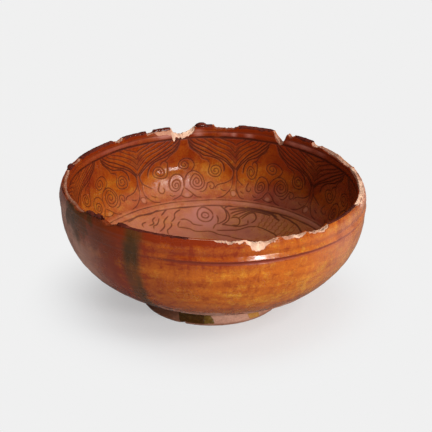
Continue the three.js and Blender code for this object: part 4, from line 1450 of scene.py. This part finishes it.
def clayShell():
    # from the middle of the underside out, up the outside, across the lip, whole or broken, and down inside
    columns = clayBody["columns"]
    bearing = bearingsRound(columns)
    g = bowl["glaze"]
    under = np.array(clayBody["undersideRadii"])[:, None]
    underZ = bowl["footHeight"] + 0.18 * np.sin(under * 1.7)
    underZ = underZ + clayBody["swellHeight"] * np.exp(-(under / clayBody["swellRadius"]) ** 2)
    underZ = underZ + 0.05 * lumps(*planAt(bearing, under), 0, 7, 91)
    rows = [turnedPoints(bearing, under * np.ones_like(bearing), underZ)]
    loss = chipLoss(bearing)
    side = np.minimum(bowl["lipCentreHeight"], bowl["height"] - loss)
    splitZ = clayBody["lipStart"]
    lowZ = np.concatenate([np.linspace(9.0, 14, 8), np.linspace(18, 62, 8), [64.9]])
    lowZ = lowZ[:, None] * np.ones_like(bearing)
    t = np.linspace(0, 1, 12)[:, None]
    outerZ = np.concatenate([lowZ, splitZ + (side - splitZ) * t])
    s = lengthAtHeight(outsideTable, outerZ, 0)
    r, z = onProfile(outsideTable, s, -g)
    z = np.where(outerZ > splitZ, np.minimum(outerZ, z), np.maximum(z, bowl["footHeight"]))
    coarse = 0.09 * lumps(*planAt(bearing, r), z, 3, 92)
    rows.append(turnedPoints(bearing, r + coarse * (outerZ > splitZ) + rootAside(bearing, z), z))
    outerR = rows[-1][-1:, :, :2]
    outerR = np.hypot(outerR[..., 0], outerR[..., 1])
    innerS = lengthAtHeight(insideTable, side, 100)
    innerR = onProfile(insideTable, innerS, -g)[0]
    angle = np.radians(np.linspace(0, 180, 20))[1:-1, None]
    f = (1 - np.cos(angle)) / 2
    acrossR = outerR + (innerR - outerR) * f
    x, y = planAt(bearing, acrossR)
    tilt = ripple(bearing, 93, 4, 30, 0.5) * (f - 0.5) * 1.1
    rough = clayBody["grain"] * lumps(x, y, 0, 2.2, 94) + 0.09 * lumps(x, y, 0, 0.9, 95)
    brokenZ = bowl["height"] - loss + (tilt + rough) * smoothStep(0.3, 1.5, loss)
    domeZ = side + (bowl["lipRound"] - g) * np.sin(angle)
    sunk = side + (brokenZ - side) * np.clip(f * 8, 0, 1) * np.clip((1 - f) * 8, 0, 1)
    acrossZ = np.where(loss > bowl["lipRound"], sunk, np.minimum(domeZ, brokenZ))
    rows.append(turnedPoints(bearing, acrossR, acrossZ))
    innerZ = splitZ + (side - splitZ) * np.linspace(1, 0, 12)[:, None]
    s = lengthAtHeight(insideTable, innerZ, 100)
    r, z = onProfile(insideTable, s, -g)
    r = r + 0.07 * lumps(*planAt(bearing, r), z, 3, 96)
    rows.append(turnedPoints(bearing, r, np.minimum(innerZ, z)))
    s = np.array([112, 106, 98, 88, 76, 62, 44, 24, 8])[:, None] * np.ones_like(bearing)
    rows.append(turnedPoints(bearing, *onProfile(insideTable, s, -clayBody["underGlaze"])))
    grid = np.concatenate(rows)
    total = grid.shape[0] * columns
    middles = [
        [0, 0, bowl["footHeight"] + clayBody["swellHeight"]],
        [0, 0, bowl["floorHeight"] - clayBody["underGlaze"]],
    ]
    points = np.concatenate([grid.reshape(-1, 3), middles])
    ringIndex = np.arange(columns)
    firstTri = np.stack([np.full(columns, total), ringIndex, np.roll(ringIndex, -1)], 1)
    top = total - columns + ringIndex
    lastTri = np.stack([np.full(columns, total + 1), np.roll(top, -1), top], 1)
    quads = gridQuads(grid.shape[0], columns, wrapColumns=True)
    # how far across the wall a row is: 0 outside, 1 inside; the left chips keep a film of glaze outside
    outerRows, innerRows = len(under) + len(outerZ), len(innerZ) + len(s)
    across = np.concatenate([np.zeros(outerRows), f[:, 0], np.ones(innerRows)])[:, None]
    pale = chipPale(bearing)
    left = smoothStep(52, 40, bearingGap(bearing, -98))
    filmed = np.clip(1 - pale + 0.3 * left * smoothStep(0.6, 0.2, across), 0, 1)
    broken = smoothStep(0.1, 0.6, loss)
    fresh = (broken * (1 - filmed)).ravel()
    filmAndShade = (broken * filmed).ravel()
    values = {"fresh": np.concatenate([fresh, [0, 0]]), "filmAndShade": np.concatenate([filmAndShade, [0, 0]])}
    return putMesh("clayBody", points, quads, np.concatenate([firstTri, lastTri]), values)


finishPiece(clayShell(), brokenClay, "clay", "clay_body")


footRing = {
    "columns": 720,
    "nickBearing": -155.0,
    "nickRadius": 2.0,
    "bevel": 0.8,
}


def footUneven(r, bearing, z):
    # the foot's own turning marks and lumps, which its patches of glaze follow
    a = np.radians(bearing)
    x, y = r * np.sin(a), r * np.cos(a)
    uneven = 0.13 * lumps(x, y, z, 9, 97) * (z > 0.4) + 0.05 * lumps(x, y, z, 2.4, 98)
    uneven = uneven + 0.09 * np.sin(z * 3.4)
    return uneven + bowl["footShift"] * np.sin(a)


def footShell():
    # the ring's section turned: its standing face, the drawn-in outside, the top under the wall, the recess
    columns = footRing["columns"]
    bearing = bearingsRound(columns)
    a = np.radians(bearing)
    inner, outer = bowl["footRecessRadius"], bowl["footRadius"] - bowl["glaze"] * 0.5
    bevel = footRing["bevel"]
    corner = np.radians(np.linspace(-90, 0, 6))
    faceR = np.linspace(inner + bevel, outer - bevel, 12)
    edgeR = outer - bevel + bevel * np.cos(corner)
    edgeZ = bevel + bevel * np.sin(corner)
    wallZ = np.linspace(1.1, 8.9, 18)
    wallR = footRadiusAt(wallZ) - bowl["glaze"] * 0.5
    backZ = np.linspace(8.8, bevel, 10)
    backR = inner + 0.05 * backZ
    innerCorner = np.radians(np.linspace(180, 270, 6))
    section = np.concatenate([
        np.stack([faceR, 0 * faceR], 1), np.stack([edgeR, edgeZ], 1)[1:], np.stack([wallR, wallZ], 1),
        np.stack([np.linspace(wallR[-1], inner + 0.5, 4), np.full(4, 8.95)], 1)[1:],
        np.stack([backR, backZ], 1),
        np.stack([inner + bevel + bevel * np.cos(innerCorner), bevel + bevel * np.sin(innerCorner)], 1)[1:-1],
    ])
    r = section[:, :1] + 0 * bearing
    z = section[:, 1:] + 0 * bearing
    r = r + footUneven(r, bearing, z)
    x, y = r * np.sin(a), r * np.cos(a)
    z = np.where(z < 0.02, np.clip(0.1 * (lumps(x, y, 0, 6, 99) - 0.6), 0, 0.3), z)
    nick = math.radians(footRing["nickBearing"])
    nickX, nickY = bowl["footRadius"] * math.sin(nick), bowl["footRadius"] * math.cos(nick)
    gap = np.sqrt((x - nickX) ** 2 + (y - nickY) ** 2 + z ** 2)
    bite = np.clip(footRing["nickRadius"] - gap, 0, 3)
    r, z = r - bite * 0.8, z + bite * 0.7
    # painted shade: the side of the foot away from the front and the key lamp is darkened brown, and its
    # lowest edge is darkened too
    filmAndShade = 0.92 * smoothStep(54, 44, bearingGap(bearing, -105)) * smoothStep(0.3, 1.2, z)
    filmAndShade = np.maximum(filmAndShade, 0.7 * smoothStep(1.3, 0.5, z) * smoothStep(0.05, 0.3, z))
    values = {"fresh": np.zeros(z.shape), "filmAndShade": np.maximum(filmAndShade, smoothStep(0, 0.4, bite))}
    points = turnedPoints(bearing, r, z)
    return putMesh("footRing", points, gridQuads(len(section), columns, True, True), None, values)


finishPiece(footShell(), footClay, "foot_clay", "foot_ring")

# Patches that ran onto the foot: piece, node, the first and the last bearing at its bottom, the same at its
# top, lowest and highest height, material, slot
footPatches = [
    ("footGlazeGreen", "foot_glaze_green", 187.2, 208.4, 186.4, 211.2, 0.6, 9.4, greenDark, "green_glaze"),
    ("footGlazeBrown", "foot_glaze_brown", 178.6, 187.8, 184.0, 187.0, 0.8, 9.4, oliveFoot, "green_glaze"),
    ("footGlazeAmber", "foot_glaze_amber", 137.5, 148.2, 136.5, 149.4, 0.6, 9.4, goldFoot, "amber_glaze"),
]


footGlaze = {
    "columns": 90,
    "rows": 30,
    "thickness": 0.2,
    "bead": 0.06,  # how much thicker the lower edge is
    "sunk": 0.03,  # how far the edges lie under the clay
    "depth": 0.6,
}


def footPatch(name, firstLow, lastLow, firstHigh, lastHigh, low, high):
    # a tongue of glaze down the foot with a wavy outline, thickest along its lower edge
    u = np.linspace(-1, 1, footGlaze["columns"])[None, :]
    t = np.linspace(0, 1, footGlaze["rows"])[:, None]
    first = firstLow + (firstHigh - firstLow) * t
    last = lastLow + (lastHigh - lastLow) * t
    bearing = (first + last) / 2 + u * (last - first) / 2 + 0.25 * np.sin(t * 9 + firstLow)
    lowEdge = low + 0.5 * np.abs(u) ** 8 + 0.2 * ripple(bearing, 101, 12, 60, 0.5)
    z = np.maximum(lowEdge, 0.35) + (high - lowEdge) * t
    swell = (1 - np.abs(u) ** 12) ** 0.5 * np.clip(t / 0.1, 0, 1) ** 0.5
    r = footRadiusAt(z) - bowl["glaze"] * 0.5
    thickness = footGlaze["thickness"] + footGlaze["bead"] * (1 - t)
    r = r + footUneven(r, bearing, z) + swell * thickness - footGlaze["sunk"]
    front = turnedPoints(bearing, r, z)
    back = turnedPoints(bearing, r - footGlaze["depth"], z)
    return patchShell(name, front, back, {})


for name, nodeName, *shape, material, slotName in footPatches:
    finishPiece(footPatch(name, *shape), material, slotName, nodeName)


lipGlaze = {
    "startAngle": 46,
    "endAngle": 160,
    "columnsPerDegree": 4,
    "rows": 24,
    "thickness": 0.18,
    "depth": 0.75,
    "raggedness": 0.35,  # of the ends, in degrees
    "edgeShare": 0.16,  # of the way across, over which the coat thins to its edge
    "beadReach": 62,  # how far over the lip a bead reaches, in degrees
    "narrow": {5: 68},  # where a worn stretch starts instead, in degrees over the lip
}
# Beads of thick black glaze on the lip: bearing, half width in degrees, height, place across in degrees
lipBeads = [
    (-5.2, 2.4, 1.5, 90), (-78.6, 2.4, 1.0, 70), (-129.6, 2.6, 1.1, 70), (-134.2, 2.3, 1.5, 75),
    (-145.4, 3.4, 1.2, 75),
]


def lipPoints(bearing, phi, radius):
    # points at an angle over the lip's half circle
    r = bowl["lipMiddle"] + radius * np.cos(phi)
    return turnedPoints(bearing, r, bowl["lipCentreHeight"] + radius * np.sin(phi))


def lipShell(number, first, last):
    # a stretch of the lip's arc, its ends ragged, its surface a little proud and lumpy, with beads on it
    columns = int((last - first) * lipGlaze["columnsPerDegree"]) + 12
    u = np.linspace(0, 1, columns)[None, :]
    t = np.linspace(0, 1, lipGlaze["rows"])[:, None]
    start = lipGlaze["narrow"].get(number, lipGlaze["startAngle"])
    angle = start + (lipGlaze["endAngle"] - start) * t
    ragged = lipGlaze["raggedness"] * ripple(angle * 2, 110 + number, 3, 24, 0.4)
    raggedLast = lipGlaze["raggedness"] * ripple(angle * 2, 130 + number, 3, 24, 0.4)
    bearing = first + ragged + (last + raggedLast - first - ragged) * u
    angle = 90 + (angle - 90) * (1 + 0.09 * ripple(bearing, 150 + number, 20, 160, 0.4))
    phi = np.radians(angle)
    edge = np.clip(np.minimum(t, 1 - t) / lipGlaze["edgeShare"], 0, 1) ** 0.5
    end = np.clip(np.minimum(u, 1 - u) * (last - first) / 0.4, 0, 1) ** 0.5
    x, y = planAt(bearing, bowl["lipMiddle"])
    lumpy = 1 + 0.35 * lumps(x, y, angle * 0.03, 2.6, 111)
    proud = lipGlaze["thickness"] * lumpy * edge * end - 0.05 * (1 - edge)
    for at, half, height, place in lipBeads:
        gap = (bearingGap(bearing, at) / half) ** 2 + ((angle - place) / lipGlaze["beadReach"]) ** 2
        proud = proud + height * np.clip(1 - gap, 0, 1) ** 0.6 * end
    front = lipPoints(bearing, phi, bowl["lipRound"] + proud)
    back = lipPoints(bearing, phi, bowl["lipRound"] - lipGlaze["depth"])
    return patchShell(f"lipGlaze{number:02d}", front, back, {})


for number, (first, last) in enumerate(lipStretches, 1):
    finishPiece(lipShell(number, first, last), brownLip, "brown_glaze", f"lip_glaze_{number:02d}")
